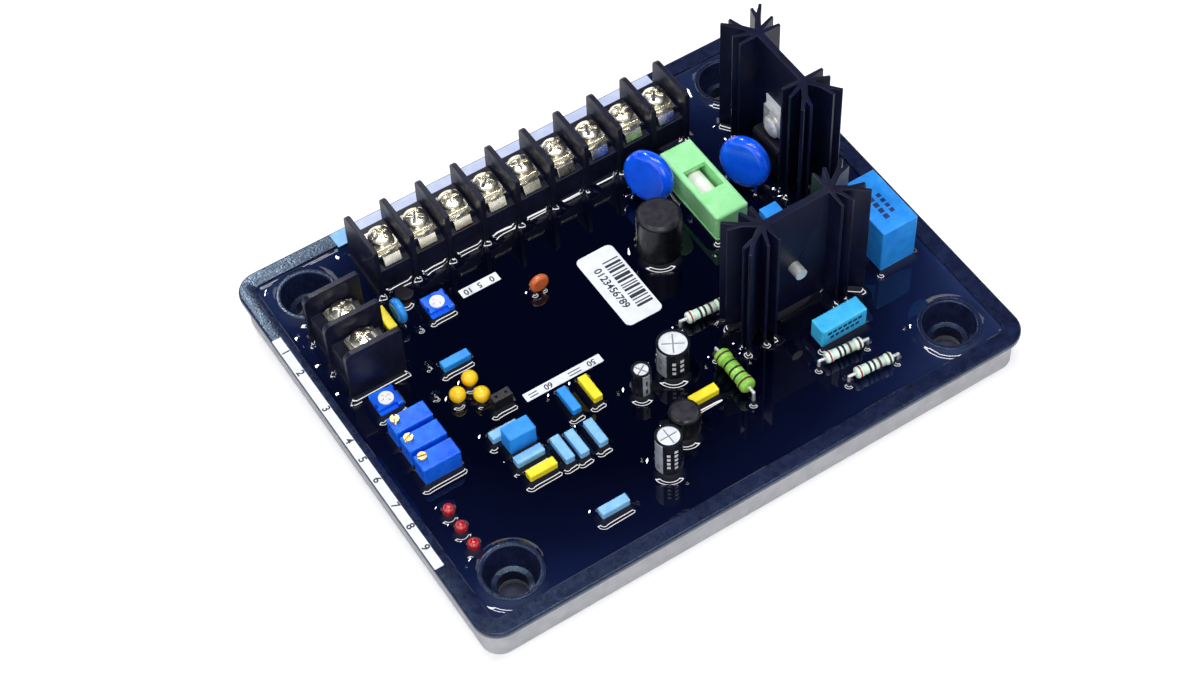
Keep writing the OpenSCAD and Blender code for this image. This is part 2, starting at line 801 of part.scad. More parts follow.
// Pan head screw along Z with its seat at the origin and a cross recess
module pan_screw(d, head_d, head_h, length) {
    crown_r = head_d * 0.85;
    recess_l = head_d * 0.72;
    recess_t = head_d * 0.15;
    translate([0, 0, -length])
        cylinder(d = d, h = length);
    difference() {
        intersection() {
            cylinder(d = head_d, h = head_h);
            translate([0, 0, head_h - crown_r])
                sphere(crown_r, $fn = 96);
        }
        for (turn = [0, 90])
            rotate([0, 0, turn])
                translate([-recess_l / 2, -recess_t / 2, head_h * 0.5])
                    cube([recess_l, recess_t, head_h]);
    }
}

// Terminal screws, each stopped at its own turn
module block_screws(poles) {
    color(nickel)
        for (i = [0 : poles - 1])
            translate([(i + 0.5 - poles / 2) * terminal_pitch, 0, clamp_top])
                rotate([0, 0, 17 + 38 * i])
                    pan_screw(terminal_screw_d, terminal_head_d, terminal_head_h, terminal_screw_l);
}

module at_long_block() {
    on_board(long_block_at)
        children();
}

module at_short_block() {
    on_board(short_block_at, 90)
        children();
}

module long_block() { at_long_block() block_housing(long_poles); }
module long_plates() { at_long_block() block_plates(long_poles); }
module long_clamps() { at_long_block() block_clamps(long_poles); }
module long_screws() { at_long_block() block_screws(long_poles); }
module short_block() { at_short_block() block_housing(short_poles); }
module short_plates() { at_short_block() block_plates(short_poles); }
module short_clamps() { at_short_block() block_clamps(short_poles); }
module short_screws() { at_short_block() block_screws(short_poles); }

// Fin that tapers from a root to a tip, as a flat outline
module fin(root, tip, grow, root_t = fin_root_t, tip_t = fin_tip_t) {
    along = (tip - root) / norm(tip - root);
    side = [-along.y, along.x];
    a = root_t / 2 + grow;
    b = tip_t / 2 + grow;
    end = tip + grow * along;
    polygon([root - a * side, end - b * side, end + b * side, root + a * side]);
}

// Extruded profile: a plate with a fan of fins at each end
module sink_profile(grow = 0) {
    u = sink_w / 2;
    v = sink_depth / 2;
    hub_u = sink_clear + 1.6;
    stem = [hub_u + 3.4, v * 0.46];
    square([2 * hub_u, sink_plate_t + 2 * grow], center = true);
    for (su = [0, 1], sv = [0, 1])
        mirror([su, 0])
            mirror([0, sv]) {
                fin([hub_u - 0.6, 0], stem, grow, fin_root_t * 1.3, fin_root_t);
                fin(stem - [0.3, 0.2], [u, v * 0.56], grow);
                fin(stem - [0.3, 0.2], [u, v], grow);
                fin([hub_u - 0.4, 0], [u * 0.7, v], grow);
                fin([hub_u - 0.9, 0], [sink_clear + fin_tip_t / 2, v], grow);
            }
}

module at_front_sink() {
    on_board(front_sink_at)
        children();
}

module at_rear_sink() {
    on_board(rear_sink_at, 90)
        children();
}

// Black heat sink, tapped for its transistor's screw
module heatsink(offset_u) {
    color(black_plastic)
        difference() {
            linear_extrude(sink_h)
                sink_profile();
            translate([offset_u, 0, device_hole_z])
                rotate([90, 0, 0])
                    cylinder(d = device_screw_d + 2 * screw_gap, h = sink_depth, center = true);
        }
}

// Insulating pad between the plate and the transistor's tab
module insulating_pad(offset_u) {
    color([0.86, 0.87, 0.94])
        difference() {
            translate([offset_u - pad_w / 2, pad_v, device_lift - 0.6])
                cube([pad_w, pad_t, pad_h]);
            device_hole(offset_u);
        }
}

module device_hole(offset_u) {
    translate([offset_u, 0, device_hole_z])
        rotate([-90, 0, 0])
            cylinder(d = device_screw_d + 2 * screw_gap, h = sink_depth);
}

// Metal tab of a power transistor, with its three leads
module transistor_tab(offset_u) {
    color([0.80, 0.80, 0.80]) {
        difference() {
            translate([offset_u - device_w / 2, tab_v, device_lift])
                cube([device_w, device_tab_t, device_tab_h]);
            device_hole(offset_u);
        }
        for (i = [-1, 0, 1])
            translate([offset_u + i * lead_pitch, lead_v, device_lift / 2])
                cube([device_lead_w, device_lead_t, device_lift], center = true);
    }
}

// Moulded body of a power transistor
module transistor_body(offset_u) {
    chamfer = 0.5;
    color(black_plastic)
        translate([offset_u - device_w / 2, 0, device_lift])
            rotate([90, 0, 90])
                linear_extrude(device_w)
                    polygon([
                        [body_v, 0],
                        [device_front_v - chamfer, 0],
                        [device_front_v, chamfer],
                        [device_front_v, device_body_h - 2 * chamfer],
                        [device_front_v - chamfer, device_body_h],
                        [body_v, device_body_h]
                    ]);
}

module transistor_washer(offset_u) {
    color(nickel)
        translate([offset_u, body_v, device_hole_z])
            rotate([-90, 0, 0])
                linear_extrude(device_washer_t)
                    difference() {
                        circle(d = device_washer_d);
                        circle(d = device_screw_d + 2 * screw_gap);
                    }
}

module transistor_screw(offset_u) {
    color(nickel)
        translate([offset_u, body_v + device_washer_t, device_hole_z])
            rotate([-90, 30, 0])
                pan_screw(
                    device_screw_d, device_head_d, device_head_h,
                    body_v + device_washer_t + sink_plate_t / 2 + device_screw_end
                );
}

module front_heatsink() { at_front_sink() heatsink(front_device_u); }
module front_pad() { at_front_sink() insulating_pad(front_device_u); }
module front_tab() { at_front_sink() transistor_tab(front_device_u); }
module front_transistor() { at_front_sink() transistor_body(front_device_u); }
module rear_heatsink() { at_rear_sink() heatsink(rear_device_u); }
module rear_pad() { at_rear_sink() insulating_pad(rear_device_u); }
module rear_tab() { at_rear_sink() transistor_tab(rear_device_u); }
module rear_transistor() { at_rear_sink() transistor_body(rear_device_u); }

module transistor_washers() {
    at_front_sink() transistor_washer(front_device_u);
    at_rear_sink() transistor_washer(rear_device_u);
}

module transistor_screws() {
    at_front_sink() transistor_screw(front_device_u);
    at_rear_sink() transistor_screw(rear_device_u);
}

// Base of the fuse holder, under the carrier
module fuse_base() {
    color(fuse_green)
        on_board(fuse_at)
            linear_extrude(fuse_base_h)
                rounded_rect([fuse_holder_w, fuse_holder_l], 0.8);
}

// Two U clips that take the fuse's end caps
module fuse_clips() {
    color(nickel)
        on_board(fuse_at)
            for (s = [-1, 1])
                translate([0, s * clip_at + clip_l / 2, fuse_base_h])
                    rotate([90, 0, 0])
                        linear_extrude(clip_l)
                            difference() {
                                translate([-clip_gap / 2 - clip_t, 0])
                                    square([clip_gap + 2 * clip_t, fuse_axis_z - fuse_base_h]);
                                translate([-clip_gap / 2, clip_t])
                                    square([clip_gap, fuse_axis_z]);
                            }
}

// Carrier that lifts off with the fuse: a hood with a window over the tube
module fuse_carrier() {
    hood_z = fuse_base_h + fuse_gap;
    color(fuse_green)
        on_board(fuse_at)
            difference() {
                translate([0, 0, hood_z])
                    soft_box([fuse_holder_w, fuse_holder_l, fuse_top - hood_z], 0.8);
                translate([-fuse_inner_w / 2, -fuse_inner_l / 2, 0])
                    cube([fuse_inner_w, fuse_inner_l, fuse_roof_z]);
                translate([-window_w / 2, -window_l / 2, 0])
                    cube([window_w, window_l, fuse_top + 1]);
            }
}

module along_fuse(from, to) {
    on_board(fuse_at)
        translate([0, from, fuse_axis_z])
            rotate([-90, 0, 0])
                linear_extrude(to - from)
                    children();
}

module fuse_tube() {
    color([0.95, 0.95, 0.93])
        along_fuse(-fuse_l / 2 + fuse_cap_l, fuse_l / 2 - fuse_cap_l)
            circle(d = fuse_tube_d);
}

module fuse_caps() {
    color(nickel) {
        along_fuse(-fuse_l / 2, -fuse_l / 2 + fuse_cap_l)
            circle(d = fuse_cap_d);
        along_fuse(fuse_l / 2 - fuse_cap_l, fuse_l / 2)
            circle(d = fuse_cap_d);
    }
}

// Row of multi-turn trimmers, each with a seat for its adjusting screw
module multi_trimmers() {
    color(trimmer_blue)
        for (row = multi_rows)
            on_board(multi_at + [0, row * multi_pitch])
                difference() {
                    soft_box([multi_l, multi_w, multi_h], 0.35);
                    translate([multi_screw_at.x, multi_screw_at.y, multi_h - rotor_seat])
                        cylinder(d = multi_screw_d + 2 * rotor_gap, h = multi_h);
                }
}

// Slotted brass adjusting screw
module multi_screw(row) {
    slot_t = 0.5;
    screw_h = rotor_seat - rotor_gap + multi_screw_proud;
    color([0.85, 0.68, 0.35])
        on_board(multi_at + [0, row * multi_pitch])
            translate([multi_screw_at.x, multi_screw_at.y, multi_h - rotor_seat + rotor_gap])
                difference() {
                    cylinder(d = multi_screw_d, h = screw_h);
                    rotate([0, 0, 25 + 40 * row])
                        translate([-multi_screw_d, -slot_t / 2, screw_h - multi_screw_proud])
                            cube([2 * multi_screw_d, slot_t, multi_screw_proud + 1]);
                }
}

module multi_screw_rear() { multi_screw(1); }
module multi_screw_middle() { multi_screw(0); }
module multi_screw_front() { multi_screw(-1); }

// Square single-turn trimmer with a ledge along its front, notched sides and a seat for its rotor
module single_trimmer(at) {
    ledge = 1;
    notch = [0.5, 1.1];
    notch_z = resin_depth + 0.5;
    color(trimmer_blue)
        on_board(at)
            difference() {
                soft_box([single_w, single_w, single_h], 0.5);
                translate([-single_w, -single_w - single_w / 2 + ledge, single_h - ledge])
                    cube([single_w * 1.25, single_w, single_h]);
                for (side = [[-1, -0.12], [1, 0.2]])
                    translate([side.x * single_w / 2 - notch.x, side.y * single_w - notch.y / 2, notch_z])
                        cube([2 * notch.x, notch.y, single_h]);
                translate([0.2 * single_w, single_w / 2 - notch.x, notch_z])
                    cube([notch.y, 2 * notch.x, single_h]);
                translate([0, 0, single_h - rotor_seat])
                    cylinder(d = rotor_d + 2 * rotor_gap, h = single_h);
            }
}

// White rotor with a cross slot
module single_rotor(at) {
    slot_t = 0.6;
    slot_depth = 0.6;
    rotor_h = rotor_seat - rotor_gap + rotor_proud;
    color([0.95, 0.95, 0.95])
        on_board(at)
            translate([0, 0, single_h - rotor_seat + rotor_gap])
                difference() {
                    cylinder(d = rotor_d, h = rotor_h);
                    for (turn = [20, 110])
                        rotate([0, 0, turn])
                            translate([-rotor_d * 0.36, -slot_t / 2, rotor_h - slot_depth])
                                cube([rotor_d * 0.72, slot_t, slot_depth + 1]);
                }
}

module rear_trimmer() { single_trimmer(rear_single_at); }
module rear_rotor() { single_rotor(rear_single_at); }
module front_trimmer() { single_trimmer(front_single_at); }
module front_rotor() { single_rotor(front_single_at); }

// Coated disc about the X axis, with a round edge
module coated_disc(d, t) {
    rotate([0, 90, 0])
        rotate_extrude()
            translate([0, -t / 2])
                intersection() {
                    union() {
                        square([d / 2 - t / 2, t]);
                        translate([d / 2 - t / 2, t / 2])
                            circle(t / 2);
                    }
                    square([d, t]);
                }
}

// Distance from a disc's middle down to where its leads end inside the coating
function lead_drop(d, span) = sqrt(d * d - span * span) / 2 - lead_d;

// Disc that stands on two wire leads and leans back
module leaded_disc(d, t, rise, span, lean) {
    z = resin_depth + rise;
    drop = lead_drop(d, span);
    translate([0, 0, z])
        rotate([0, lean, 0])
            coated_disc(d, t);
    for (s = [-1, 1])
        translate([-drop * sin(lean), s * span / 2, 0])
            cylinder(d = lead_d, h = z - drop * cos(lean));
}

module varistor(at) {
    color(trimmer_blue)
        on_board(at, varistor_turn)
            leaded_disc(varistor_d, varistor_t, varistor_rise, varistor_span, varistor_lean);
}

module left_varistor() { varistor(left_varistor_at); }
module right_varistor() { varistor(right_varistor_at); }

module blue_disc() {
    color([0.10, 0.50, 0.95])
        on_board(blue_disc_at)
            leaded_disc(blue_disc_d, blue_disc_t, blue_disc_rise, small_disc_span, 0);
}

module orange_disc() {
    color([0.90, 0.40, 0.15])
        on_board(orange_disc_at, 90)
            leaded_disc(orange_disc_d, orange_disc_t, orange_disc_rise, small_disc_span, 0);
}

module large_film_cap() {
    color(film_blue)
        on_board(large_film_at, 90)
            soft_box(large_film, film_edge_r);
}

module medium_film_cap() {
    color(film_blue)
        on_board(medium_film_at)
            soft_box(medium_film, film_edge_r);
}

module hidden_film_cap() {
    color(film_blue)
        on_board(hidden_film_at, 90)
            soft_box(hidden_film, film_edge_r);
}

module tall_film_cap() {
    color(film_blue)
        on_board(tall_film_at)
            soft_box(tall_film, film_edge_r);
}

module small_films(places) {
    for (film = places)
        on_board(film[0], film[1])
            soft_box([film_l, film_w, film_h], film_edge_r);
}

module pale_film_caps() { color(pale_blue) small_films(pale_films); }
module blue_film_caps() { color(film_blue) small_films(blue_films); }
module yellow_film_caps() { color(sun_yellow) small_films(yellow_films); }

// Aluminium cans with a scored vent in the top
module electrolytic_cans() {
    score_t = 0.35;
    score_depth = 0.15;
    color([0.85, 0.86, 0.88])
        for (i = [0 : len(can_at) - 1])
            on_board(can_at[i])
                difference() {
                    cylinder(d = can_d[i] - 2 * sleeve_t, h = can_h[i]);
                    for (turn = [0, 90])
                        rotate([0, 0, turn + 30 * i])
                            translate([-can_d[i] * 0.34, -score_t / 2, can_h[i] - score_depth])
                                cube([can_d[i] * 0.68, score_t, 1]);
                }
}

// Printed sleeves, shrunk over the cans' upper edges
module electrolytic_sleeves() {
    lap = 0.6;
    color(black_plastic)
        for (i = [0 : len(can_at) - 1])
            on_board(can_at[i])
                difference() {
                    cylinder(d = can_d[i], h = can_h[i] + sleeve_t);
                    translate([0, 0, -1])
                        cylinder(d = can_d[i] - 2 * sleeve_t, h = can_h[i] + 1);
                    cylinder(d = can_d[i] - 2 * lap, h = can_h[i] + 1);
                }
}

// Dipped bead capacitors on short necks
module bead_caps() {
    bead_z = resin_depth + bead_rise;
    color(sun_yellow)
        for (at = bead_at)
            on_board(at) {
                translate([0, 0, bead_z])
                    sphere(d = bead_d);
                cylinder(d = bead_stem_d, h = bead_z);
            }
}

// Ferrite drums: two flanges on a waist, the upper one bevelled
module choke_cores() {
    color([0.32, 0.32, 0.35])
        for (i = [0 : len(choke_at) - 1]) {
            bevel = choke_bevel * choke_d[i];
            flange_d = choke_d[i] - 2 * choke_sleeve_t;
            on_board(choke_at[i]) {
                cylinder(d = flange_d, h = choke_flange_t);
                cylinder(d = choke_waist_d[i], h = choke_h[i] - bevel);
                translate([0, 0, choke_h[i] - choke_flange_t])
                    cylinder(d = flange_d, h = choke_flange_t - bevel);
                translate([0, 0, choke_h[i] - bevel])
                    cylinder(d1 = flange_d, d2 = flange_d - 2 * bevel, h = bevel);
            }
        }
}

// Windings in a sleeve that reaches up to the bevel of the upper flange
module choke_windings() {
    color([0.08, 0.08, 0.10])
        for (i = [0 : len(choke_at) - 1]) {
            bevel = choke_bevel * choke_d[i];
            flange_d = choke_d[i] - 2 * choke_sleeve_t;
            on_board(choke_at[i])
                difference() {
                    cylinder(d = choke_d[i], h = choke_h[i] - bevel);
                    translate([0, 0, -1])
                        cylinder(d = flange_d, h = choke_flange_t + 1);
                    translate([0, 0, -1])
                        cylinder(d = choke_waist_d[i], h = choke_h[i] + 2);
                    translate([0, 0, choke_h[i] - choke_flange_t])
                        cylinder(d = flange_d, h = choke_flange_t);
                }
        }
}

// Distance between the two bent leads of a resistor
function resistor_span(size) = size[0] + 4 * lead_d;

// Resistor along X: a body with swollen ends on leads bent down to the board
module resistor(size, rise) {
    z = resin_depth + rise;
    length = size[0];
    d = size[1];
    end_l = d * 0.7;
    span = resistor_span(size);
    translate([0, 0, z])
        rotate([0, 90, 0]) {
            cylinder(d = d * 0.88, h = length - 2 * end_l, center = true);
            for (s = [-1, 1])
                translate([0, 0, s * (length - end_l) / 2])
                    resistor_end(d, end_l);
            cylinder(d = lead_d, h = span, center = true);
        }
    for (s = [-1, 1])
        translate([s * span / 2, 0, 0]) {
            cylinder(d = lead_d, h = z);
            translate([0, 0, z])
                sphere(d = lead_d);
        }
}

// Swollen end of a resistor's body, round at both of its edges
module resistor_end(d, length) {
    edge_r = d * 0.2;
    rotate_extrude()
        intersection() {
            rounded_rect([d, length], edge_r);
            translate([0, -length / 2])
                square([d, length]);
        }
}

module power_resistor_body() {
    color([0.55, 0.75, 0.35])
        on_board(power_resistor_at, 90)
            resistor(power_resistor, power_resistor_rise);
}

module small_resistor_bodies() {
    color([0.75, 0.92, 0.85])
        for (at = small_resistor_at)
            on_board(at, small_resistor_turn)
                resistor(small_resistor, small_resistor_rise);
}

// Round lamps with a domed lens
module indicator_lamps() {
    color([0.85, 0.05, 0.08])
        for (at = led_at)
            on_board(at) {
                cylinder(d = led_d, h = led_h - led_d / 2);
                translate([0, 0, led_h - led_d / 2])
                    sphere(d = led_d);
            }
}

// Outline of the small transistor: round with one flat side
module flat_sided_round(grow = 0) {
    d = small_transistor_d;
    difference() {
        circle(d = d + 2 * grow);
        translate([-d, -d * 1.35 - grow])
            square([2 * d, d]);
    }
}

// Small three-lead transistor
module small_transistor_body() {
    color(black_plastic)
        on_board(small_transistor_at, small_transistor_turn)
            linear_extrude(small_transistor_h)
                flat_sided_round();
}

module header_base() {
    color(black_plastic)
        on_board(header_at)
            difference() {
                soft_box([header.x, header.y, header_h], 0.3);
                header_pin_holes(header_h + 1);
            }
}

module header_pin_holes(height) {
    for (s = [-1, 1])
        translate([s * pin_pitch / 2, 0, height / 2])
            cube([pin_t, pin_t, height + 1], center = true);
}

module header_pins() {
    pin_h = header_h + jumper_h - 1;
    color(nickel)
        on_board(header_at)
            for (s = [-1, 1])
                translate([s * pin_pitch / 2, 0, pin_h / 2])
                    cube([pin_t, pin_t, pin_h], center = true);
}

// Cap that links the two pins
module jumper_cap() {
    color(black_plastic)
        on_board(header_at)
            translate([0, 0, header_h])
                difference() {
                    soft_box([header.x, header.y, jumper_h], 0.3);
                    header_pin_holes(jumper_h * 2 - 2);
                }
}

base_shell();
potting_tray();
circuit_board();
potting_resin();
long_block();
long_plates();
long_clamps();
long_screws();
short_block();
short_plates();
short_clamps();
short_screws();
front_heatsink();
front_pad();
front_tab();
front_transistor();
rear_heatsink();
rear_pad();
rear_tab();
rear_transistor();
transistor_washers();
transistor_screws();
fuse_base();
fuse_clips();
fuse_carrier();
fuse_tube();
fuse_caps();
multi_trimmers();
multi_screw_rear();
multi_screw_middle();
multi_screw_front();
rear_trimmer();
rear_rotor();
front_trimmer();
front_rotor();
left_varistor();
right_varistor();
blue_disc();
orange_disc();
large_film_cap();
medium_film_cap();
hidden_film_cap();
tall_film_cap();
pale_film_caps();
blue_film_caps();
yellow_film_caps();
electrolytic_cans();
electrolytic_sleeves();
bead_caps();
choke_cores();
choke_windings();
power_resistor_body();
small_resistor_bodies();
indicator_lamps();
small_transistor_body();
header_base();
header_pins();
jumper_cap();
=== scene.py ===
"""Looks of a potted generator voltage regulator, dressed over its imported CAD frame.

Lengths are millimetres times MM. X runs along the long terminal row, Y across the case, Z up.
"""

import json
import math

import bmesh
import bpy
from mathutils import Matrix, Vector, noise


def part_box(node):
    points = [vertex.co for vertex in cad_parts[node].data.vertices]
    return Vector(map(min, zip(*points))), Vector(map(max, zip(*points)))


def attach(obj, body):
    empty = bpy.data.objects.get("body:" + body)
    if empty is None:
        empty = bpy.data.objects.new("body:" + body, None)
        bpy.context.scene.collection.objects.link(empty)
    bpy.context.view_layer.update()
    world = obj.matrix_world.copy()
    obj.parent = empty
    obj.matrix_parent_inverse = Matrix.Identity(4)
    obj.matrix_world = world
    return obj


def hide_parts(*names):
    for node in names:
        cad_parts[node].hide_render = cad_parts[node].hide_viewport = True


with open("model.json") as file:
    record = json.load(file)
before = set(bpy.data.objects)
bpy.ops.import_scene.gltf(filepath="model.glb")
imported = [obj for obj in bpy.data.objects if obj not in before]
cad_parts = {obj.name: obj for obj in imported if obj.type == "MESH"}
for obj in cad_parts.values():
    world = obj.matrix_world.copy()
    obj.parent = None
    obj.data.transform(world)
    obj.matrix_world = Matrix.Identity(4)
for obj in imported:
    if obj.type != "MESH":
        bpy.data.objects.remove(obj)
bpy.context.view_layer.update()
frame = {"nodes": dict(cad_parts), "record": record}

MM = 0.001
CASE_BODY = "regulator"
NODES = frame["nodes"]
SLOT_OF = {part["node"]: part["material_slot"] for part in frame["record"]["subparts"]}

FLANGE_T = 1.4 * MM
RIM_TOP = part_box("base_shell")[1].z + FLANGE_T
RESIN_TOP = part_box("potting_resin")[1].z


# Materials


def linear(hex_colour):
    """Turns an sRGB hex colour into the linear RGBA that shaders take."""
    channels = [int(hex_colour[i:i + 2], 16) / 255 for i in (1, 3, 5)]
    return [c / 12.92 if c <= 0.04045 else ((c + 0.055) / 1.055) ** 2.4 for c in channels] + [1.0]


def add_node(tree, kind, inputs=None, **settings):
    """Adds a shader node with its settings. An input is a value, or a socket to link from."""
    made = tree.nodes.new("ShaderNode" + kind)
    for key, value in settings.items():
        setattr(made, key, value)
    for socket, value in (inputs or {}).items():
        if isinstance(value, bpy.types.NodeSocket):
            tree.links.new(value, made.inputs[socket])
        else:
            made.inputs[socket].default_value = value
    return made


def new_material(name, colour, roughness, **sockets):
    """Makes a Principled material and returns it with its tree, its shader and its Object coordinates."""
    made = bpy.data.materials.new(name)
    made.use_nodes = True
    tree = made.node_tree
    shader = tree.nodes["Principled BSDF"]
    shader.inputs["Base Color"].default_value = linear(colour)
    shader.inputs["Roughness"].default_value = roughness
    for socket, value in sockets.items():
        shader.inputs[socket.replace("_", " ")].default_value = value
    place = add_node(tree, "TexCoord").outputs["Object"]
    return made, tree, shader, place


# Noise mostly lies between these two values.
NOISE_LOW, NOISE_HIGH = 0.3, 0.7


def mottle(tree, shader, place, dark, light, size):
    """Lets the base colour wander between two close tones over patches of a given size."""
    patches = add_node(tree, "TexNoise", {"Vector": place, "Scale": 1 / size, "Detail": 3.0})
    tones = add_node(tree, "ValToRGB", {"Fac": patches.outputs["Fac"]})
    tones.color_ramp.elements[0].position = NOISE_LOW
    tones.color_ramp.elements[0].color = linear(dark)
    tones.color_ramp.elements[1].position = NOISE_HIGH
    tones.color_ramp.elements[1].color = linear(light)
    tree.links.new(tones.outputs["Color"], shader.inputs["Base Color"])


def vary_roughness(tree, shader, place, low, high, size):
    """Lets the roughness wander between two values over patches of a given size."""
    patches = add_node(tree, "TexNoise", {"Vector": place, "Scale": 1 / size, "Detail": 4.0})
    span = add_node(
        tree, "MapRange",
        {
            "Value": patches.outputs["Fac"], "From Min": NOISE_LOW, "From Max": NOISE_HIGH,
            "To Min": low, "To Max": high,
        },
    )
    tree.links.new(span.outputs["Result"], shader.inputs["Roughness"])


def grain(tree, shader, place, size, depth, stretch=(1, 1, 1), detail=2.0):
    """Raises a fine grain of a given size and depth on the surface, drawn out along an axis if asked."""
    drawn = add_node(tree, "Mapping", {"Vector": place, "Scale": stretch})
    rough = add_node(
        tree, "TexNoise", {"Vector": drawn.outputs["Vector"], "Scale": 1 / size, "Detail": detail}
    )
    bump = add_node(tree, "Bump", {"Height": rough.outputs["Fac"], "Strength": 1.0, "Distance": depth})
    tree.links.new(bump.outputs["Normal"], shader.inputs["Normal"])


def moulded(name, dark, light, roughness, grain_size=0.4, grain_depth=0.012, **sockets):
    """Moulded plastic: two close tones, uneven gloss and the tool's fine grain, in millimetres."""
    made, tree, shader, place = new_material(name, dark, roughness, **sockets)
    mottle(tree, shader, place, dark, light, 2.5 * MM)
    vary_roughness(tree, shader, place, roughness * 0.8, roughness * 1.25, 1.8 * MM)
    grain(tree, shader, place, grain_size * MM, grain_depth * MM)
    return made


def dipped(name, dark, light, roughness):
    """Dipped lacquer: a smooth glossy coat with slow sags and slightly uneven colour."""
    made, tree, shader, place = new_material(
        name, dark, roughness, Specular_IOR_Level=0.25, Coat_Weight=0.7, Coat_Roughness=0.05
    )
    mottle(tree, shader, place, dark, light, 3.0 * MM)
    grain(tree, shader, place, 1.6 * MM, 0.05 * MM)
    return made


def plated(name, dark, light, low, high, metallic=1.0):
    """Bright plated metal: stained tone, and gloss that comes and goes as on a handled part."""
    made, tree, shader, place = new_material(name, light, low, Metallic=metallic)
    mottle(tree, shader, place, dark, light, 1.4 * MM)
    vary_roughness(tree, shader, place, low, high, 1.1 * MM)
    grain(tree, shader, place, 0.6 * MM, 0.002 * MM)
    return made


# The tray's plastic has a coarse spark-eroded grain: the rim sparkles where light grazes it.
tray_abs = moulded(
    "tray_abs_slate_grained", "#0F142C", "#1B2242", 0.27, grain_size=0.55, grain_depth=0.06,
    Specular_Tint=(0.55, 0.78, 1, 1),
)
# The shell is plain grey moulding, matt and pale.
shell_abs = moulded("shell_abs_pale_grey", "#A4A5A9", "#B4B5B9", 0.55)
# Glass-fibre laminate, hidden under the resin.
board_laminate = moulded("board_laminate_green", "#0E3A22", "#154A2C", 0.4)
# Barrier blocks are glass-filled nylon: near black, slightly blue, satin.
block_nylon = moulded(
    "block_nylon_black", "#0B0C1C", "#141730", 0.38, grain_size=0.5, Specular_IOR_Level=0.3
)
# Screws, clamps and plates are nickel plated: warm, bright, with dark reflections.
nickel = plated("nickel_plate_warm", "#DCD6C0", "#F6F2E0", 0.2, 0.3)
# Leads and tabs are tinned copper, whiter and duller than nickel.
tin = plated("tinned_copper", "#D2D3D4", "#F0F0EE", 0.3, 0.46, metallic=0.55)
# Turned brass adjusting screws.
brass = plated("turned_brass", "#E4C078", "#FFEFC4", 0.3, 0.45)
# Drawn aluminium cans: a satin white metal, with slow stains in place of a mirror.
can_aluminium, tree, shader, place = new_material("drawn_aluminium", "#E8ECEE", 0.42, Metallic=0.5)
mottle(tree, shader, place, "#DDE1E5", "#F8FAFB", 2.2 * MM)
grain(tree, shader, place, 0.25 * MM, 0.006 * MM)
# The bottoms of the scored vent's grooves are painted darker grey than the can, as painted shade in the
# grooves.
score_painted_shade = plated("score_painted_shade_grey", "#84888E", "#9CA0A5", 0.5, 0.6)
# Transistor pads are thin white silicone.
pad_silicone = moulded("pad_silicone_white", "#D9DCE6", "#EEF0F6", 0.6)
# Transistor bodies are moulded epoxy, almost black.
device_epoxy = moulded("device_epoxy_black", "#0D0D15", "#161622", 0.42, Specular_IOR_Level=0.3)
# The fuse holder is light green nylon, slightly waxy.
fuse_nylon = moulded("fuse_nylon_light_green", "#9AEE9F", "#AEF8B2", 0.34)
# Glazed white tube of the fuse.
fuse_ceramic = moulded("fuse_ceramic_white", "#EDECE6", "#F8F7F2", 0.22)
# Trimmer bodies are glossy blue polyester.
trimmer_polyester = moulded("trimmer_polyester_blue", "#0656E4", "#1074FF", 0.3)
# Square trimmers have white nylon rotors.
rotor_nylon = moulded("rotor_nylon_white", "#F4F4F5", "#FDFDFE", 0.35)
# Varistors and discs are dipped in coloured lacquer.
varistor_lacquer = dipped("varistor_lacquer_cobalt", "#0250EE", "#0862FF", 0.25)
disc_lacquer_blue = dipped("disc_lacquer_light_blue", "#1C86E8", "#2C9AF6", 0.28)
disc_lacquer_orange = dipped("disc_lacquer_orange", "#C4582A", "#DA7440", 0.3)
bead_lacquer = dipped("bead_lacquer_yellow", "#FFBC06", "#FFDA2C", 0.22)
# Film capacitors are moulded boxes in four colours.
film_mid = moulded("film_case_mid_blue", "#1C8AE8", "#2E9EFC", 0.4)
film_sky = moulded("film_case_sky_blue", "#38B8F4", "#4CCCFF", 0.4)
film_pale = moulded("film_case_pale_blue", "#76B6EA", "#90CAF6", 0.42)
film_yellow = moulded("film_case_yellow", "#F6DC10", "#FFEC30", 0.4)
# Electrolytic cans wear a shrunk black film.
sleeve_film = moulded("sleeve_film_black", "#0E0F16", "#191B26", 0.22)
# Chokes are dark grey ferrite drums, ground smooth, in a black sleeve.
choke_ferrite = moulded(
    "choke_ferrite_grey", "#1C1B22", "#2A2830", 0.34, grain_size=0.3, grain_depth=0.01
)
choke_sleeve = moulded("choke_sleeve_black", "#06070C", "#0D0F16", 0.3, grain_depth=0.004)
# Resistors are lacquered in a leaf green and in a mint that is almost white.
resistor_olive = dipped("resistor_lacquer_olive", "#7CBA46", "#9AD656", 0.4)
resistor_mint = dipped("resistor_lacquer_mint", "#D2EEDA", "#ECFDEE", 0.4)
# Header and jumper are black nylon.
header_nylon = moulded("header_nylon_black", "#0D0D11", "#17171C", 0.4)
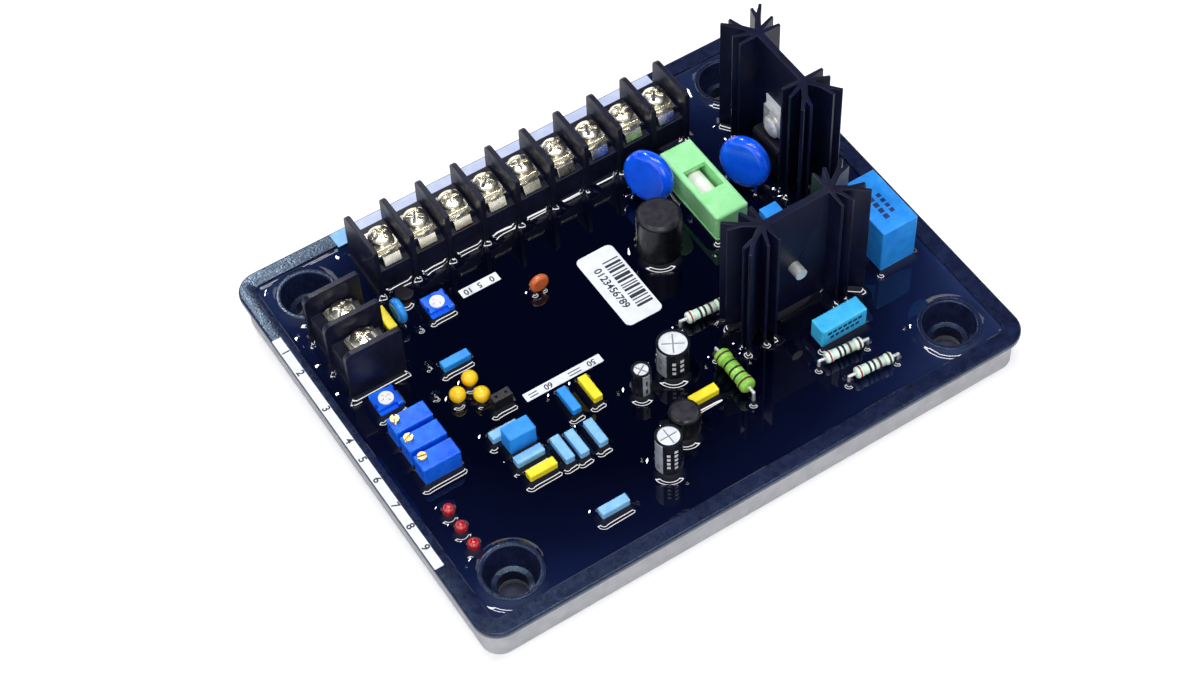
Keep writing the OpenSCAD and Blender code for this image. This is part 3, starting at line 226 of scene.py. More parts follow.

# Poured epoxy levels itself: a black mirror with slow waves. Its base colour is painted lighter navy towards
# the walls, as a painted reflection of the room.
PAINTED_REFLECTION_REACH = (88 * MM, 68 * MM)
resin_epoxy, tree, shader, place = new_material("poured_epoxy_painted_reflection", "#010411", 0.03, IOR=1.52)
reach = add_node(
    tree, "Mapping",
    {"Vector": place, "Location": (0.09, 0.03, 0), "Scale": (1 / PAINTED_REFLECTION_REACH[0], 1 / PAINTED_REFLECTION_REACH[1], 0)},
)
inwards = add_node(tree, "TexGradient", {"Vector": reach.outputs["Vector"]}, gradient_type="SPHERICAL")
# Painted reflection: the base colour runs from navy at the walls to black in the middle.
depth = add_node(tree, "ValToRGB", {"Fac": inwards.outputs["Fac"]})
depth.color_ramp.elements[0].color = linear("#1F2B4E")
depth.color_ramp.elements[1].position = 0.5
depth.color_ramp.elements[1].color = linear("#00010E")
depth.color_ramp.elements.new(0.12).color = linear("#0F193A")
depth.color_ramp.elements.new(0.25).color = linear("#060B24")
tree.links.new(depth.outputs["Color"], shader.inputs["Base Color"])
grain(tree, shader, place, 22 * MM, 0.05 * MM, detail=0.0)

# Heat sinks are extruded and black anodised: fine draw lines run up them.
sink_anodised, tree, shader, place = new_material(
    "anodised_aluminium_black", "#050820", 0.42, Specular_IOR_Level=0.25
)
mottle(tree, shader, place, "#04061C", "#0A0E2E", 4 * MM)
grain(tree, shader, place, 0.35 * MM, 0.02 * MM, stretch=(1, 1, 0.02))

# Lamps are clear red epoxy: light goes in and glows at the edges.
lamp_epoxy, tree, shader, place = new_material(
    "lamp_epoxy_red", "#C40A16", 0.08, Transmission_Weight=0.35, IOR=1.5, Coat_Weight=1.0
)
mottle(tree, shader, place, "#BE0612", "#F01824", 1.2 * MM)

# Labels are matt vinyl film with black print. The one behind the terminals is tinted.
label_vinyl = moulded("label_vinyl_white", "#DDE2EA", "#EDF0F5", 0.5)
label_lavender = moulded("label_vinyl_lavender", "#C2CEEE", "#D3DDF6", 0.4)
label_print = moulded("label_print_black", "#101218", "#1C1F28", 0.5)
# A strip of glossy tape holds the tinted label's end.
tape_blue = moulded("tape_film_light_blue", "#5FA6E0", "#86C4F2", 0.25)
# Ink on sleeves and capacitor cases is thin and satin.
print_grey = moulded("sleeve_print_grey", "#8E939E", "#B0B5BF", 0.35)
print_white = moulded("sleeve_print_white", "#C9CCD6", "#E6E8EE", 0.4)
print_navy = moulded("case_print_navy", "#0C2C66", "#123878", 0.45)
# Resistors' bands are rings of satin paint.
band_brown = moulded("band_paint_brown", "#3F2415", "#57341F", 0.4)
band_black = moulded("band_paint_black", "#121212", "#1D1D1D", 0.4)
band_red = moulded("band_paint_red", "#8C1C1A", "#AE2A26", 0.4)

FINISHES = {
    tray_abs: ["potting_tray"],
    shell_abs: ["base_shell"],
    board_laminate: ["circuit_board"],
    resin_epoxy: ["potting_resin"],
    block_nylon: ["long_block", "short_block"],
    nickel: [
        "long_plates", "long_clamps", "long_screws", "short_plates", "short_clamps", "short_screws",
        "fuse_clips", "fuse_caps",
    ],
    tin: ["front_tab", "rear_tab", "header_pins", "transistor_washers", "transistor_screws"],
    sink_anodised: ["front_heatsink", "rear_heatsink"],
    pad_silicone: ["front_pad", "rear_pad"],
    device_epoxy: ["front_transistor", "rear_transistor", "small_transistor_body"],
    fuse_nylon: ["fuse_base", "fuse_carrier"],
    fuse_ceramic: ["fuse_tube"],
    brass: ["multi_screw_rear", "multi_screw_middle", "multi_screw_front"],
    trimmer_polyester: ["multi_trimmers", "rear_trimmer", "front_trimmer"],
    rotor_nylon: ["rear_rotor", "front_rotor"],
    varistor_lacquer: ["left_varistor", "right_varistor"],
    disc_lacquer_blue: ["blue_disc"],
    disc_lacquer_orange: ["orange_disc"],
    film_mid: ["large_film_cap", "hidden_film_cap", "tall_film_cap", "blue_film_caps"],
    film_sky: ["medium_film_cap"],
    film_pale: ["pale_film_caps"],
    film_yellow: ["yellow_film_caps"],
    can_aluminium: ["electrolytic_cans"],
    sleeve_film: ["electrolytic_sleeves"],
    bead_lacquer: ["bead_caps"],
    choke_ferrite: ["choke_cores"],
    choke_sleeve: ["choke_windings"],
    resistor_olive: ["power_resistor_body"],
    resistor_mint: ["small_resistor_bodies"],
    lamp_epoxy: ["indicator_lamps"],
    header_nylon: ["header_base", "jumper_cap"],
}
FINISH_OF = {node: finish for finish, nodes in FINISHES.items() for node in nodes}
for node, finish in FINISH_OF.items():
    NODES[node].material_slots[0].material = finish


# Pieces

JOIN_WITHIN = 0.002 * MM
FLAT_WITHIN = math.radians(1)
SHARP_FROM = math.radians(50)
# A terminal plate's tab starts this far below the plate's top, and hangs this far.
TAB_START = 1 * MM
TAB_DROP = 1.3 * MM


def new_piece(name, bm, finish, slot=None, body=CASE_BODY, smooth_below=40):
    """Turns a bmesh into a piece that rides on a body, smooth where its faces meet at a low angle."""
    mesh = bpy.data.meshes.new(name)
    bm.to_mesh(mesh)
    bm.free()
    mesh.materials.append(finish)
    mesh.shade_smooth()
    mesh.set_sharp_from_angle(angle=math.radians(smooth_below))
    piece = bpy.data.objects.new(name, mesh)
    bpy.context.scene.collection.objects.link(piece)
    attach(piece, body)
    return piece


def solid_copy(node):
    """Copies a node's mesh into a bmesh with its loose triangles joined."""
    bm = bmesh.new()
    bm.from_mesh(NODES[node].data)
    bmesh.ops.remove_doubles(bm, verts=bm.verts, dist=JOIN_WITHIN)
    return bm


def softened(node, width, lean=0.0):
    """Replaces a node by a copy whose sharp edges are broken, so that they catch the light.

    With a lean, tabs that hang below the node's top are cut short, and lean out by that share of their drop.
    """
    bm = solid_copy(node)
    bmesh.ops.dissolve_limit(bm, angle_limit=FLAT_WITHIN, verts=bm.verts, edges=bm.edges)
    if lean:
        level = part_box(node)[1].z - TAB_START
        for v in bm.verts:
            drop = min(max(level - v.co.z, 0), TAB_DROP)
            v.co.z = max(v.co.z, level - drop)
            v.co.y -= lean * drop
    sharp = [e for e in bm.edges if e.is_manifold and e.calc_face_angle() > SHARP_FROM]
    bmesh.ops.bevel(
        bm, geom=sharp, offset=width, offset_type="OFFSET", segments=2, profile=0.5,
        affect="EDGES", material=-1, clamp_overlap=True,
    )
    piece = new_piece(node + "_soft", bm, FINISH_OF[node], SLOT_OF[node], smooth_below=25)
    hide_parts(node)


# Widths of the broken edges
MOULDED_EDGE = 0.18 * MM
EXTRUDED_EDGE = 0.12 * MM
STAMPED_EDGE = 0.1 * MM
HEADED_EDGE = 0.07 * MM
DEVICE_EDGE = 0.15 * MM
for node in ("potting_tray", "long_block", "short_block"):
    softened(node, MOULDED_EDGE)
for node in ("front_heatsink", "rear_heatsink"):
    softened(node, EXTRUDED_EDGE)
for node in ("short_plates", "long_clamps", "short_clamps", "front_tab", "rear_tab"):
    softened(node, STAMPED_EDGE)
for node in ("long_screws", "short_screws"):
    softened(node, HEADED_EDGE)
softened("long_plates", STAMPED_EDGE, lean=0.7)
for node in ("front_transistor", "rear_transistor", "fuse_base", "choke_cores"):
    softened(node, DEVICE_EDGE)


# Wet edges of the resin

# A wet edge falls in this many steps along its curve, with its vertices this far apart round the part.
WET_STEPS = 12
WET_STRIDE = 1.5 * MM
# Its foot lies this far under the resin's surface, so that no gap shows.
WET_DIP = 0.02 * MM
# Its spread wanders by this share, over this distance.
WET_UNEVEN = 0.1
WET_WANDER = 2.5 * MM
# A loop of the tray narrower than this is a cup.
CUP_ROOM = 30 * MM
CUP_R = 7.5 * MM
CUPS = [Vector((x, y, 0)) * MM for x in (-58.75, 58.75) for y in (-45.2, 45.2)]


def loose_parts(bm):
    """Lists the vertices of each connected part of a bmesh, in the same order each time."""
    seen = set()
    parts = []
    for start in bm.verts:
        if start in seen:
            continue
        seen.add(start)
        part = [start]
        for v in part:
            for edge in v.link_edges:
                other = edge.other_vert(v)
                if other not in seen:
                    seen.add(other)
                    part.append(other)
        parts.append(part)
    return parts


def outer_walls(outward, width):
    """Picks the loops round a node's outside, and not those inside its holes."""
    return outward


def tray_cups(outward, width):
    """Picks the loops round the tray's cups."""
    return outward and width < CUP_ROOM


def tray_wall(outward, width):
    """Picks the loop inside the tray's wall."""
    return not outward and width > CUP_ROOM


def wet_edges(bm_out, node, rise, spread, wanted=outer_walls):
    """Adds the curved edge where the resin climbs a node's walls at its surface.

    The node is cut at the resin's surface, and each wanted loop of the cut is drawn out from the wall
    and down in a hollow curve that ends level with the resin. The curve stops at the cups' walls.
    """
    bm = solid_copy(node)
    out = bm.verts.layers.float_vector.new("out")
    cut = bmesh.ops.bisect_plane(
        bm, geom=bm.verts[:] + bm.edges[:] + bm.faces[:], dist=0.0005 * MM,
        plane_co=(0, 0, RESIN_TOP), plane_no=(0, 0, 1), clear_outer=True,
    )["geom_cut"]
    bm.normal_update()
    edge_verts = {v for v in cut if isinstance(v, bmesh.types.BMVert)}
    for v in edge_verts:
        flat = Vector((v.normal.x, v.normal.y, 0)).normalized()
        uneven = 1 + WET_UNEVEN * noise.noise(v.co / WET_WANDER)
        v[out] = flat * min(v.calc_shell_factor(), 1.5) * uneven
    bmesh.ops.delete(bm, geom=[v for v in bm.verts if v not in edge_verts], context="VERTS")
    unwanted = []
    for loop in loose_parts(bm):
        centre = sum((v.co for v in loop), Vector()) / len(loop)
        outward = sum((v.co - centre).dot(v[out]) for v in loop) > 0
        width = 2 * max((v.co - centre).length for v in loop)
        if not wanted(outward, width):
            unwanted += loop
    bmesh.ops.delete(bm, geom=unwanted, context="VERTS")
    for edge in bm.edges[:]:
        cuts = int(edge.calc_length() / WET_STRIDE)
        if cuts:
            bmesh.ops.subdivide_edges(bm, edges=[edge], cuts=cuts)
    bmesh.ops.translate(bm, verts=bm.verts, vec=(0, 0, rise - WET_DIP))
    edges = bm.edges[:]
    for i in range(1, WET_STEPS + 1):
        height = RESIN_TOP + rise * (1 - i / WET_STEPS) ** 2 - WET_DIP
        grown = bmesh.ops.extrude_edge_only(bm, edges=edges)["geom"]
        edges = [g for g in grown if isinstance(g, bmesh.types.BMEdge)]
        for v in [g for g in grown if isinstance(g, bmesh.types.BMVert)]:
            v.co += v[out] * spread / WET_STEPS
            for cup in CUPS:
                away = (v.co - cup).xy
                if away.length < CUP_R:
                    v.co.xy = cup.xy + away.normalized() * CUP_R
            v.co.z = height
    for face in bm.faces:
        face.normal_update()
        if face.normal.z < 0:
            face.normal_flip()
    mesh = bpy.data.meshes.new("wet_edges")
    bm.to_mesh(mesh)
    bm.free()
    bm_out.from_mesh(mesh)
    bpy.data.meshes.remove(mesh)


# The resin climbs higher and wider on large parts.
wet = bmesh.new()
wet_edges(wet, "potting_tray", 0.95 * MM, 3.2 * MM, tray_cups)
wet_edges(wet, "potting_tray", 0.5 * MM, 1.6 * MM, tray_wall)
for node in (
    "long_block", "short_block", "fuse_base", "multi_trimmers", "rear_trimmer", "front_trimmer",
    "large_film_cap", "medium_film_cap", "hidden_film_cap", "tall_film_cap", "pale_film_caps",
    "blue_film_caps", "yellow_film_caps", "electrolytic_sleeves", "choke_windings", "small_transistor_body",
    "jumper_cap",
):
    wet_edges(wet, node, 0.9 * MM, 3.1 * MM)
for node in (
    "left_varistor", "right_varistor", "blue_disc", "orange_disc", "power_resistor_body",
    "small_resistor_bodies", "front_tab", "rear_tab", "bead_caps", "indicator_lamps",
):
    wet_edges(wet, node, 0.7 * MM, 2.4 * MM)
for node in ("front_heatsink", "rear_heatsink"):
    wet_edges(wet, node, 0.95 * MM, 3 * MM)
new_piece("resin_wet_edges", wet, resin_epoxy, SLOT_OF["potting_resin"], smooth_below=60)


def resin_bump(bm, x, y, radius):
    """Raises a small smooth bump where the resin covers a lead's end, in millimetres."""
    disc = bmesh.ops.create_circle(bm, cap_ends=True, cap_tris=True, segments=16, radius=radius * MM)["verts"]
    spokes = list(dict.fromkeys(e for v in disc for e in v.link_edges))
    bmesh.ops.subdivide_edges(bm, edges=spokes, cuts=4, use_grid_fill=True)
    for v in bm.verts:
        if v.tag:
            continue
        v.tag = True
        away = min(v.co.length / (radius * MM), 1)
        v.co += Vector((x * MM, y * MM, RESIN_TOP - WET_DIP))
        v.co.z += BUMP_STEEPNESS * radius * MM * (1 - away ** 2) ** 2


BUMP_STEEPNESS = 0.32
LEAD_BUMP_R = 0.7
SAG_BUMP_R = 1.8
# Leads' ends under the resin, as places on the board in millimetres.
LEAD_ENDS = (
    (-66, 51.5), (-66, 36.5), (-66.5, 33), (-45.5, 51.5), (-66, -38.5), (50, -40), (9, -9.5), (-14, -18.5),
    (-19.5, -36.5), (-14.5, -47), (6.5, -23.5), (15, -16), (15.5, -28), (-28, -11), (-36.5, -42.5),
    (-27.5, -20), (-22, -12), (26.5, 2), (42.5, -24.5),
)
# Wider swells, where the resin set slowly
SAGS = ((-41.5, 22.5), (-45.5, 12), (-48.5, 4))
bumps = bmesh.new()
for x, y in LEAD_ENDS:
    resin_bump(bumps, x, y, LEAD_BUMP_R)
for x, y in SAGS:
    resin_bump(bumps, x, y, SAG_BUMP_R)
new_piece("resin_bumps", bumps, resin_epoxy, SLOT_OF["potting_resin"], smooth_below=80)


# Labels and print, with their places and sizes in millimetres

LABEL_T = 0.1
PRINT_GAP = 0.02
# The font's size is this many times a figure's height, and its strokes grow by this share of the size.
FONT_SIZE = 1.4
FONT_BOLD = 0.02


def rounded_plate(bm, centre, size, radius, thick):
    """Adds a thin plate with round corners, lying on a point."""
    corner = bmesh.ops.create_circle(bm, cap_ends=True, radius=radius, segments=24)
    verts = corner["verts"]
    for v in verts:
        v.co.x += math.copysign(size[0] / 2 - radius, v.co.x)
        v.co.y += math.copysign(size[1] / 2 - radius, v.co.y)
    face = verts[0].link_faces[0]
    if face.normal.z < 0:
        face.normal_flip()
    raised = bmesh.ops.extrude_face_region(bm, geom=[face])["geom"]
    top = [g for g in raised if isinstance(g, bmesh.types.BMVert)]
    bmesh.ops.translate(bm, verts=top, vec=(0, 0, thick))
    both = list({*verts, *top} & set(bm.verts))
    bmesh.ops.transform(bm, matrix=Matrix.Translation(centre), verts=both)


def label(name, centre, size, finish, radius=0.2, thick=LABEL_T):
    """Makes a label, in millimetres, on the case."""
    bm = bmesh.new()
    rounded_plate(bm, Vector(centre) * MM, [s * MM for s in size], radius * MM, thick * MM)
    bmesh.ops.recalc_face_normals(bm, faces=bm.faces)
    return new_piece(name, bm, finish)


def printed_bars(name, bars, z):
    """Prints plain bars, each given as middle x, middle y, length and width in millimetres."""
    bm = bmesh.new()
    for x, y, length, width in bars:
        place = Matrix.Translation(Vector((x, y, z)) * MM)
        scale = Matrix.Diagonal((length * MM / 2, width * MM / 2, 1, 1))
        bmesh.ops.create_grid(bm, x_segments=1, y_segments=1, size=1, matrix=place @ scale)
    return new_piece(name, bm, label_print)


def printed_numbers(name, numbers, height, turn, z):
    """Prints plain numbers, each given as its text and its middle in millimetres."""
    bm = bmesh.new()
    for text, x, y in numbers:
        curve = bpy.data.curves.new(name, "FONT")
        curve.body = text
        curve.size = height * MM * FONT_SIZE
        curve.offset = curve.size * FONT_BOLD
        curve.align_x, curve.align_y = "CENTER", "CENTER"
        holder = bpy.data.objects.new(name, curve)
        mesh = bpy.data.meshes.new_from_object(holder)
        place = Matrix.Translation(Vector((x, y, z)) * MM) @ Matrix.Rotation(turn, 4, "Z")
        mesh.transform(place)
        bm.from_mesh(mesh)
        bpy.data.objects.remove(holder)
        bpy.data.curves.remove(curve)
        bpy.data.meshes.remove(mesh)
    return new_piece(name, bm, label_print)


rim_z = RIM_TOP / MM
resin_z = RESIN_TOP / MM
rim_print_z = rim_z + LABEL_T + PRINT_GAP
resin_print_z = resin_z + LABEL_T + PRINT_GAP

SIDE_LABEL_X = -71.15
SIDE_MARKS = (33, 26, 14, 3.5, -2.5, -9, -17, -23.5, -30)
label("side_label", (SIDE_LABEL_X, 0.75, rim_z), (2.3, 73.5), label_vinyl)
printed_numbers(
    "side_label_numbers", [(str(i + 1), SIDE_LABEL_X, y) for i, y in enumerate(SIDE_MARKS)],
    1.9, math.radians(-90), rim_print_z,
)
label("terminal_label", (-1, 55.9, rim_z), (90, 3.2), label_lavender)
label("terminal_tape", (-43, 55.2, rim_z + LABEL_T), (6, 4.4), tape_blue, thick=0.06)

SCALE_LABEL_Y = 25.5
label("scale_label", (-23.9, SCALE_LABEL_Y, resin_z), (10.2, 2.6), label_vinyl)
printed_numbers(
    "scale_label_numbers",
    [("0", -20.6, SCALE_LABEL_Y), ("5", -23.9, SCALE_LABEL_Y), ("10", -27, SCALE_LABEL_Y)],
    1.6, math.pi, resin_print_z,
)
RANGE_LABEL_Y = -7.9
label("range_label", (-22, RANGE_LABEL_Y, resin_z), (20.5, 2.4), label_vinyl)
printed_numbers(
    "range_label_numbers", [("50", -14.5, RANGE_LABEL_Y), ("60", -26, RANGE_LABEL_Y)],
    1.5, math.pi, resin_print_z,
)
printed_bars(
    "range_label_bars",
    [(-19, -7.6, 3.2, 0.25), (-19, -8.4, 3.2, 0.25), (-30, -7.6, 2.2, 0.25), (-30, -8.4, 2.2, 0.25)],
    resin_print_z,
)
STOCK_LABEL_Y = 7.3
STOCK_BARS_X, STOCK_BARS_LONG = 5.2, 4.2
STOCK_BAR_WIDTHS = (0.7, 0.35, 0.35, 1, 0.35, 0.7, 0.35, 0.35, 0.7, 1, 0.35, 0.7, 0.35, 0.7, 0.35)
label("stock_label", (3, STOCK_LABEL_Y, resin_z), (10, 23.1), label_vinyl, radius=1.6)
stock_bars = []
y = -0.7
for i, width in enumerate(STOCK_BAR_WIDTHS):
    stock_bars.append((STOCK_BARS_X, y + width / 2, STOCK_BARS_LONG, width))
    y += width + (0.7 if i % 3 == 1 else 0.4)
printed_bars("stock_label_bars", stock_bars, resin_print_z)
printed_numbers(
    "stock_label_numbers", [("0123456789", 1, STOCK_LABEL_Y)], 1.9, math.radians(-90), resin_print_z,
)


def raised_bars(name, bars, along, up, finish):
    """Prints plain bars on a flat side, each given as its middle, length and width in millimetres."""
    along, up = Vector(along), Vector(up)
    facing = Matrix((along, up, along.cross(up))).transposed().to_4x4()
    bm = bmesh.new()
    for middle, length, width in bars:
        scale = Matrix.Diagonal((length * MM / 2, width * MM / 2, 1, 1))
        place = Matrix.Translation(Vector(middle) * MM) @ facing @ scale
        bmesh.ops.create_grid(bm, x_segments=1, y_segments=1, size=1, matrix=place)
    return new_piece(name, bm, finish)


# Stand-ins for the print on the two larger film capacitors
low, high = (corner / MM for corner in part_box("large_film_cap"))
middle_x, near_y, top_z = (low.x + high.x) / 2, low.y, high.z + PRINT_GAP
raised_bars(
    "large_film_print",
    [((middle_x - 1.1, near_y + 4.2 + 1.9 * i, top_z), 1.4, 1.3) for i in range(4)]
    + [((middle_x + 1.1, near_y + 5 + 1.7 * i, top_z), 1.1, 1.1) for i in range(4)],
    (0, 1, 0), (-1, 0, 0), print_navy,
)
low, high = (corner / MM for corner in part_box("medium_film_cap"))
middle_x, near_y, top_z = (low.x + high.x) / 2, low.y - PRINT_GAP, high.z
raised_bars(
    "medium_film_print",
    [((middle_x - 4.2 + 1.4 * i, near_y, top_z - 1.7), 1.1, 0.9) for i in range(7)]
    + [((middle_x - 3.5 + 1.4 * i, near_y, top_z - 3.3), 1, 0.9) for i in range(6)],
    (1, 0, 0), (0, 0, 1), print_navy,
)


def sleeves():
    """Lists the middle of the top and the radius of each electrolytic sleeve, nearest first."""
    bm = solid_copy("electrolytic_sleeves")
    found = []
    for part in loose_parts(bm):
        low = Vector(min(v.co[i] for v in part) for i in range(3))
        high = Vector(max(v.co[i] for v in part) for i in range(3))
        found.append((Vector(((low.x + high.x) / 2, (low.y + high.y) / 2, high.z)), (high.x - low.x) / 2))
    bm.free()
    return sorted(found, key=lambda sleeve: sleeve[0].y)


def sleeve_print(name, marks, finish):
    """Wraps patches of print round the sleeves.

    A mark is the sleeve's number, its middle and sweep in degrees, and its upper and lower ends in
    millimetres below the sleeve's top.
    """
    bm = bmesh.new()
    for i, angle, sweep, upper, lower in marks:
        top, radius = SLEEVES[i]
        start = math.radians(angle - sweep / 2)
        edge = Vector((math.cos(start), math.sin(start), 0)) * (radius + PRINT_GAP * MM)
        ends = [bm.verts.new(top + edge - Vector((0, 0, d * MM))) for d in (lower, upper)]
        bmesh.ops.spin(
            bm, geom=[*ends, bm.edges.new(ends)], cent=top, axis=(0, 0, 1),
            angle=math.radians(sweep), steps=max(2, round(sweep / 6)),
        )
    for face in bm.faces:
        face.normal_update()
        centre = face.calc_center_median()
        nearest = min((top for top, radius in SLEEVES), key=lambda top: (centre - top).xy.length)
        if face.normal.dot(centre - nearest) < 0:
            face.normal_flip()
    return new_piece(name, bm, finish)


SLEEVES = sleeves()
# The stripe's middle on each sleeve and its sweep, in degrees
STRIPES = (188, 270, 190)
STRIPE_SWEEP = 48
sleeve_print(
    "sleeve_stripes",
    [
        (i, angle, STRIPE_SWEEP, 0.5, (SLEEVES[i][0].z - RESIN_TOP) / MM - 1)
        for i, angle in enumerate(STRIPES)
    ],
    print_grey,
)
sleeve_print(
    "sleeve_stripe_ends",
    [(i, angle, STRIPE_SWEEP, 0.1, 1.3) for i, angle in enumerate(STRIPES)], print_white,
)
sleeve_print(
    "sleeve_minus_marks",
    [(i, angle, 12, d, d + 1.6) for i, angle in enumerate(STRIPES) for d in (2.2, 5.2, 8.2)], sleeve_film,
)
sleeve_print(
    "sleeve_bars",
    [(0, 236, 14, d, d + 0.9) for d in (3, 4.5, 6, 7.5)]
    + [(0, 268, 16, d, d + 0.9) for d in (2, 3.5, 5, 6.5, 8)]
    + [(2, 240, 12, d, d + 1) for d in (2.5, 4.2, 5.9)]
    + [(2, 268, 14, d, d + 1) for d in (2, 3.7, 5.4)],
    print_white,
)


# Scored tops of the cans, with painted shade in their grooves

# A groove's bottom lies this far below the can's top, give or take a little.
SCORE_DEPTH = 0.15 * MM
SCORE_WITHIN = 0.01 * MM


def painted_score_shade():
    """Lays a darker grey skin on the bottom of each scored groove in the cans' tops: painted shade."""
    bm = solid_copy("electrolytic_cans")
    grooves = set()
    for part in loose_parts(bm):
        bottom = max(v.co.z for v in part) - SCORE_DEPTH
        for face in {f for v in part for f in v.link_faces}:
            if face.normal.z > 0.9 and abs(face.calc_center_median().z - bottom) < SCORE_WITHIN:
                grooves.add(face)
    bmesh.ops.delete(bm, geom=[f for f in bm.faces if f not in grooves], context="FACES")
    bmesh.ops.translate(bm, verts=bm.verts, vec=(0, 0, PRINT_GAP * MM))
    return new_piece("painted_score_shade", bm, score_painted_shade, SLOT_OF["electrolytic_cans"])


painted_score_shade()


# Leads and colour bands of the resistors

# A resistor's feet lie at least this far under the resin, and a foot's points this close together.
FEET_UNDER = 2 * MM
FOOT_ROOM = 2 * MM
LEAD_START = 0.02 * MM
# Bands are read in this direction, which is to the right as the case is seen from its front.
READ_ALONG = Vector((1, -1, 0))


def resistor_axes(node):
    """Gives each resistor's middle, direction, radius and half length in a node, from its two leads."""
    bm = solid_copy(node)
    for part in loose_parts(bm):
        feet = [v.co for v in part if v.co.z < RESIN_TOP - FEET_UNDER]
        far = max(feet, key=lambda p: (p - feet[0]).length)
        near = max(feet, key=lambda p: (p - far).length)
        ends = []
        for end in (near, far):
            foot = [p for p in feet if (p - end).length < FOOT_ROOM]
            ends.append(sum(foot, Vector()) / len(foot))
        along = (ends[1] - ends[0]).normalized()
        if along.dot(READ_ALONG) < 0:
            along = -along
        middle = (ends[0] + ends[1]) / 2
        top = max(v.co.z for v in part)
        side = along.cross(Vector((0, 0, 1)))
        radius = max(abs((v.co - middle).dot(side)) for v in part)
        middle.z = top - radius
        half = max(abs((v.co - middle).dot(along)) for v in part if v.co.z > middle.z + 0.3 * radius)
        yield middle, along, radius, half
    bm.free()


def bare_leads(node):
    """Replaces a node of resistors by their lacquered bodies and their tinned leads."""
    axes = list(resistor_axes(node))
    for name, finish, slot in (
        (node + "_coat", FINISH_OF[node], SLOT_OF[node]),
        (node + "_leads", tin, SLOT_OF["header_pins"]),
    ):
        bm = solid_copy(node)
        others = []
        for face in bm.faces:
            centre = face.calc_center_median()
            middle, along, radius, half = min(axes, key=lambda axis: (centre - axis[0]).length)
            on_lead = abs((centre - middle).dot(along)) > half + LEAD_START
            if on_lead != (finish == tin):
                others.append(face)
        bmesh.ops.delete(bm, geom=others, context="FACES")
        piece = new_piece(name, bm, finish, slot)
        if finish != tin:
            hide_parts(node)


bare_leads("power_resistor_body")
bare_leads("small_resistor_bodies")


def colour_bands(name, node, places, finish, width, share):
    """Paints bands round each resistor of a node, at places along it in millimetres.

    A band's radius is a share of the body's largest, since the body is narrower between its ends.
    """
    bm = bmesh.new()
    for middle, along, radius, half in resistor_axes(node):
        turn = Vector((0, 0, 1)).rotation_difference(along).to_matrix().to_4x4()
        for at in places:
            bmesh.ops.create_cone(
                bm, cap_ends=False, segments=32, radius1=radius * share, radius2=radius * share,
                depth=width * MM, matrix=Matrix.Translation(middle + along * at * MM) @ turn,
            )
    return new_piece(name, bm, finish)


ON_END, ON_WAIST = 1.01, 0.9
colour_bands("power_band_brown", "power_resistor_body", (-4.3, 4.3), band_brown, 0.5, ON_END)
colour_bands("power_band_black", "power_resistor_body", (-1.7, 0.4, 2.2), band_black, 0.5, ON_WAIST)
colour_bands("small_band_red", "small_resistor_bodies", (-3.8,), band_red, 0.4, ON_END)
colour_bands("small_band_black", "small_resistor_bodies", (-1.4, -0.2), band_black, 0.55, ON_WAIST)
colour_bands("small_band_brown", "small_resistor_bodies", (1.2, 3.8), band_brown, 0.55, ON_END)


# Stage, lights and camera


def look_at(thing, at, aim, roll=0.0):
    """Puts a camera or lamp at a place, pointing at another, rolled about its own axis."""
    at, aim = Vector(at) * MM, Vector(aim) * MM
    turn = (aim - at).to_track_quat("-Z", "Y").to_matrix().to_4x4()
    thing.matrix_world = Matrix.Translation(at) @ turn @ Matrix.Rotation(-roll, 4, "Z")


def lamp(name, at, aim, size, power, roll=0.0):
    """Adds a soft rectangular lamp, with its place and size in millimetres."""
    data = bpy.data.lights.new(name, "AREA")
    data.shape = "RECTANGLE"
    data.size, data.size_y = (s * MM for s in size)
    data.energy = power
    holder = bpy.data.objects.new(name, data)
    bpy.context.scene.collection.objects.link(holder)
    look_at(holder, at, aim, roll)


def staged(name, bm, finish):
    """Turns a bmesh into a sheet of the stage, which isn't part of the object."""
    mesh = bpy.data.meshes.new(name)
    bm.to_mesh(mesh)
    bm.free()
    mesh.materials.append(finish)
    sheet = bpy.data.objects.new(name, mesh)
    bpy.context.scene.collection.objects.link(sheet)


def flat_sheet(name, size, z, finish):
    """Lays a flat sheet of the stage, with its size and height in millimetres."""
    bm = bmesh.new()
    scale = Matrix.Diagonal((size[0] * MM / 2, size[1] * MM / 2, 1, 1))
    place = Matrix.Translation((0, 0, z * MM)) @ scale
    bmesh.ops.create_grid(bm, x_segments=1, y_segments=1, size=1, matrix=place)
    staged(name, bm, finish)


def round_wall(name, radius, height, finish):
    """Stands a round wall of the stage about the object, with its sizes in millimetres."""
    bm = bmesh.new()
    bmesh.ops.create_circle(bm, cap_ends=False, segments=96, radius=radius * MM)
    raised = bmesh.ops.extrude_edge_only(bm, edges=bm.edges[:])["geom"]
    upper = [v for v in raised if isinstance(v, bmesh.types.BMVert)]
    bmesh.ops.translate(bm, verts=upper, vec=(0, 0, height * MM))
    staged(name, bm, finish)


def seen_or_mirrored(tree):
    """Gives 1 for a ray that comes from the camera, a mirror or glass, and 0 for any other."""
    seen = add_node(tree, "LightPath").outputs
    mirrored = add_node(
        tree, "Math", {0: seen["Is Glossy Ray"], 1: seen["Is Transmission Ray"]}, operation="MAXIMUM"
    )
    return add_node(
        tree, "Math", {0: seen["Is Camera Ray"], 1: mirrored.outputs["Value"]}, operation="MAXIMUM"
    ).outputs["Value"]


# Seamless white paper under the object, lifted to white where it is seen or mirrored.
LIFT_NEAR, LIFT_FAR = 0.4, 1.0
paper, tree, shader, place = new_material(
    "backdrop_paper_white", "#EBEBEB", 0.9, Emission_Color=(1, 1, 1, 1)
)
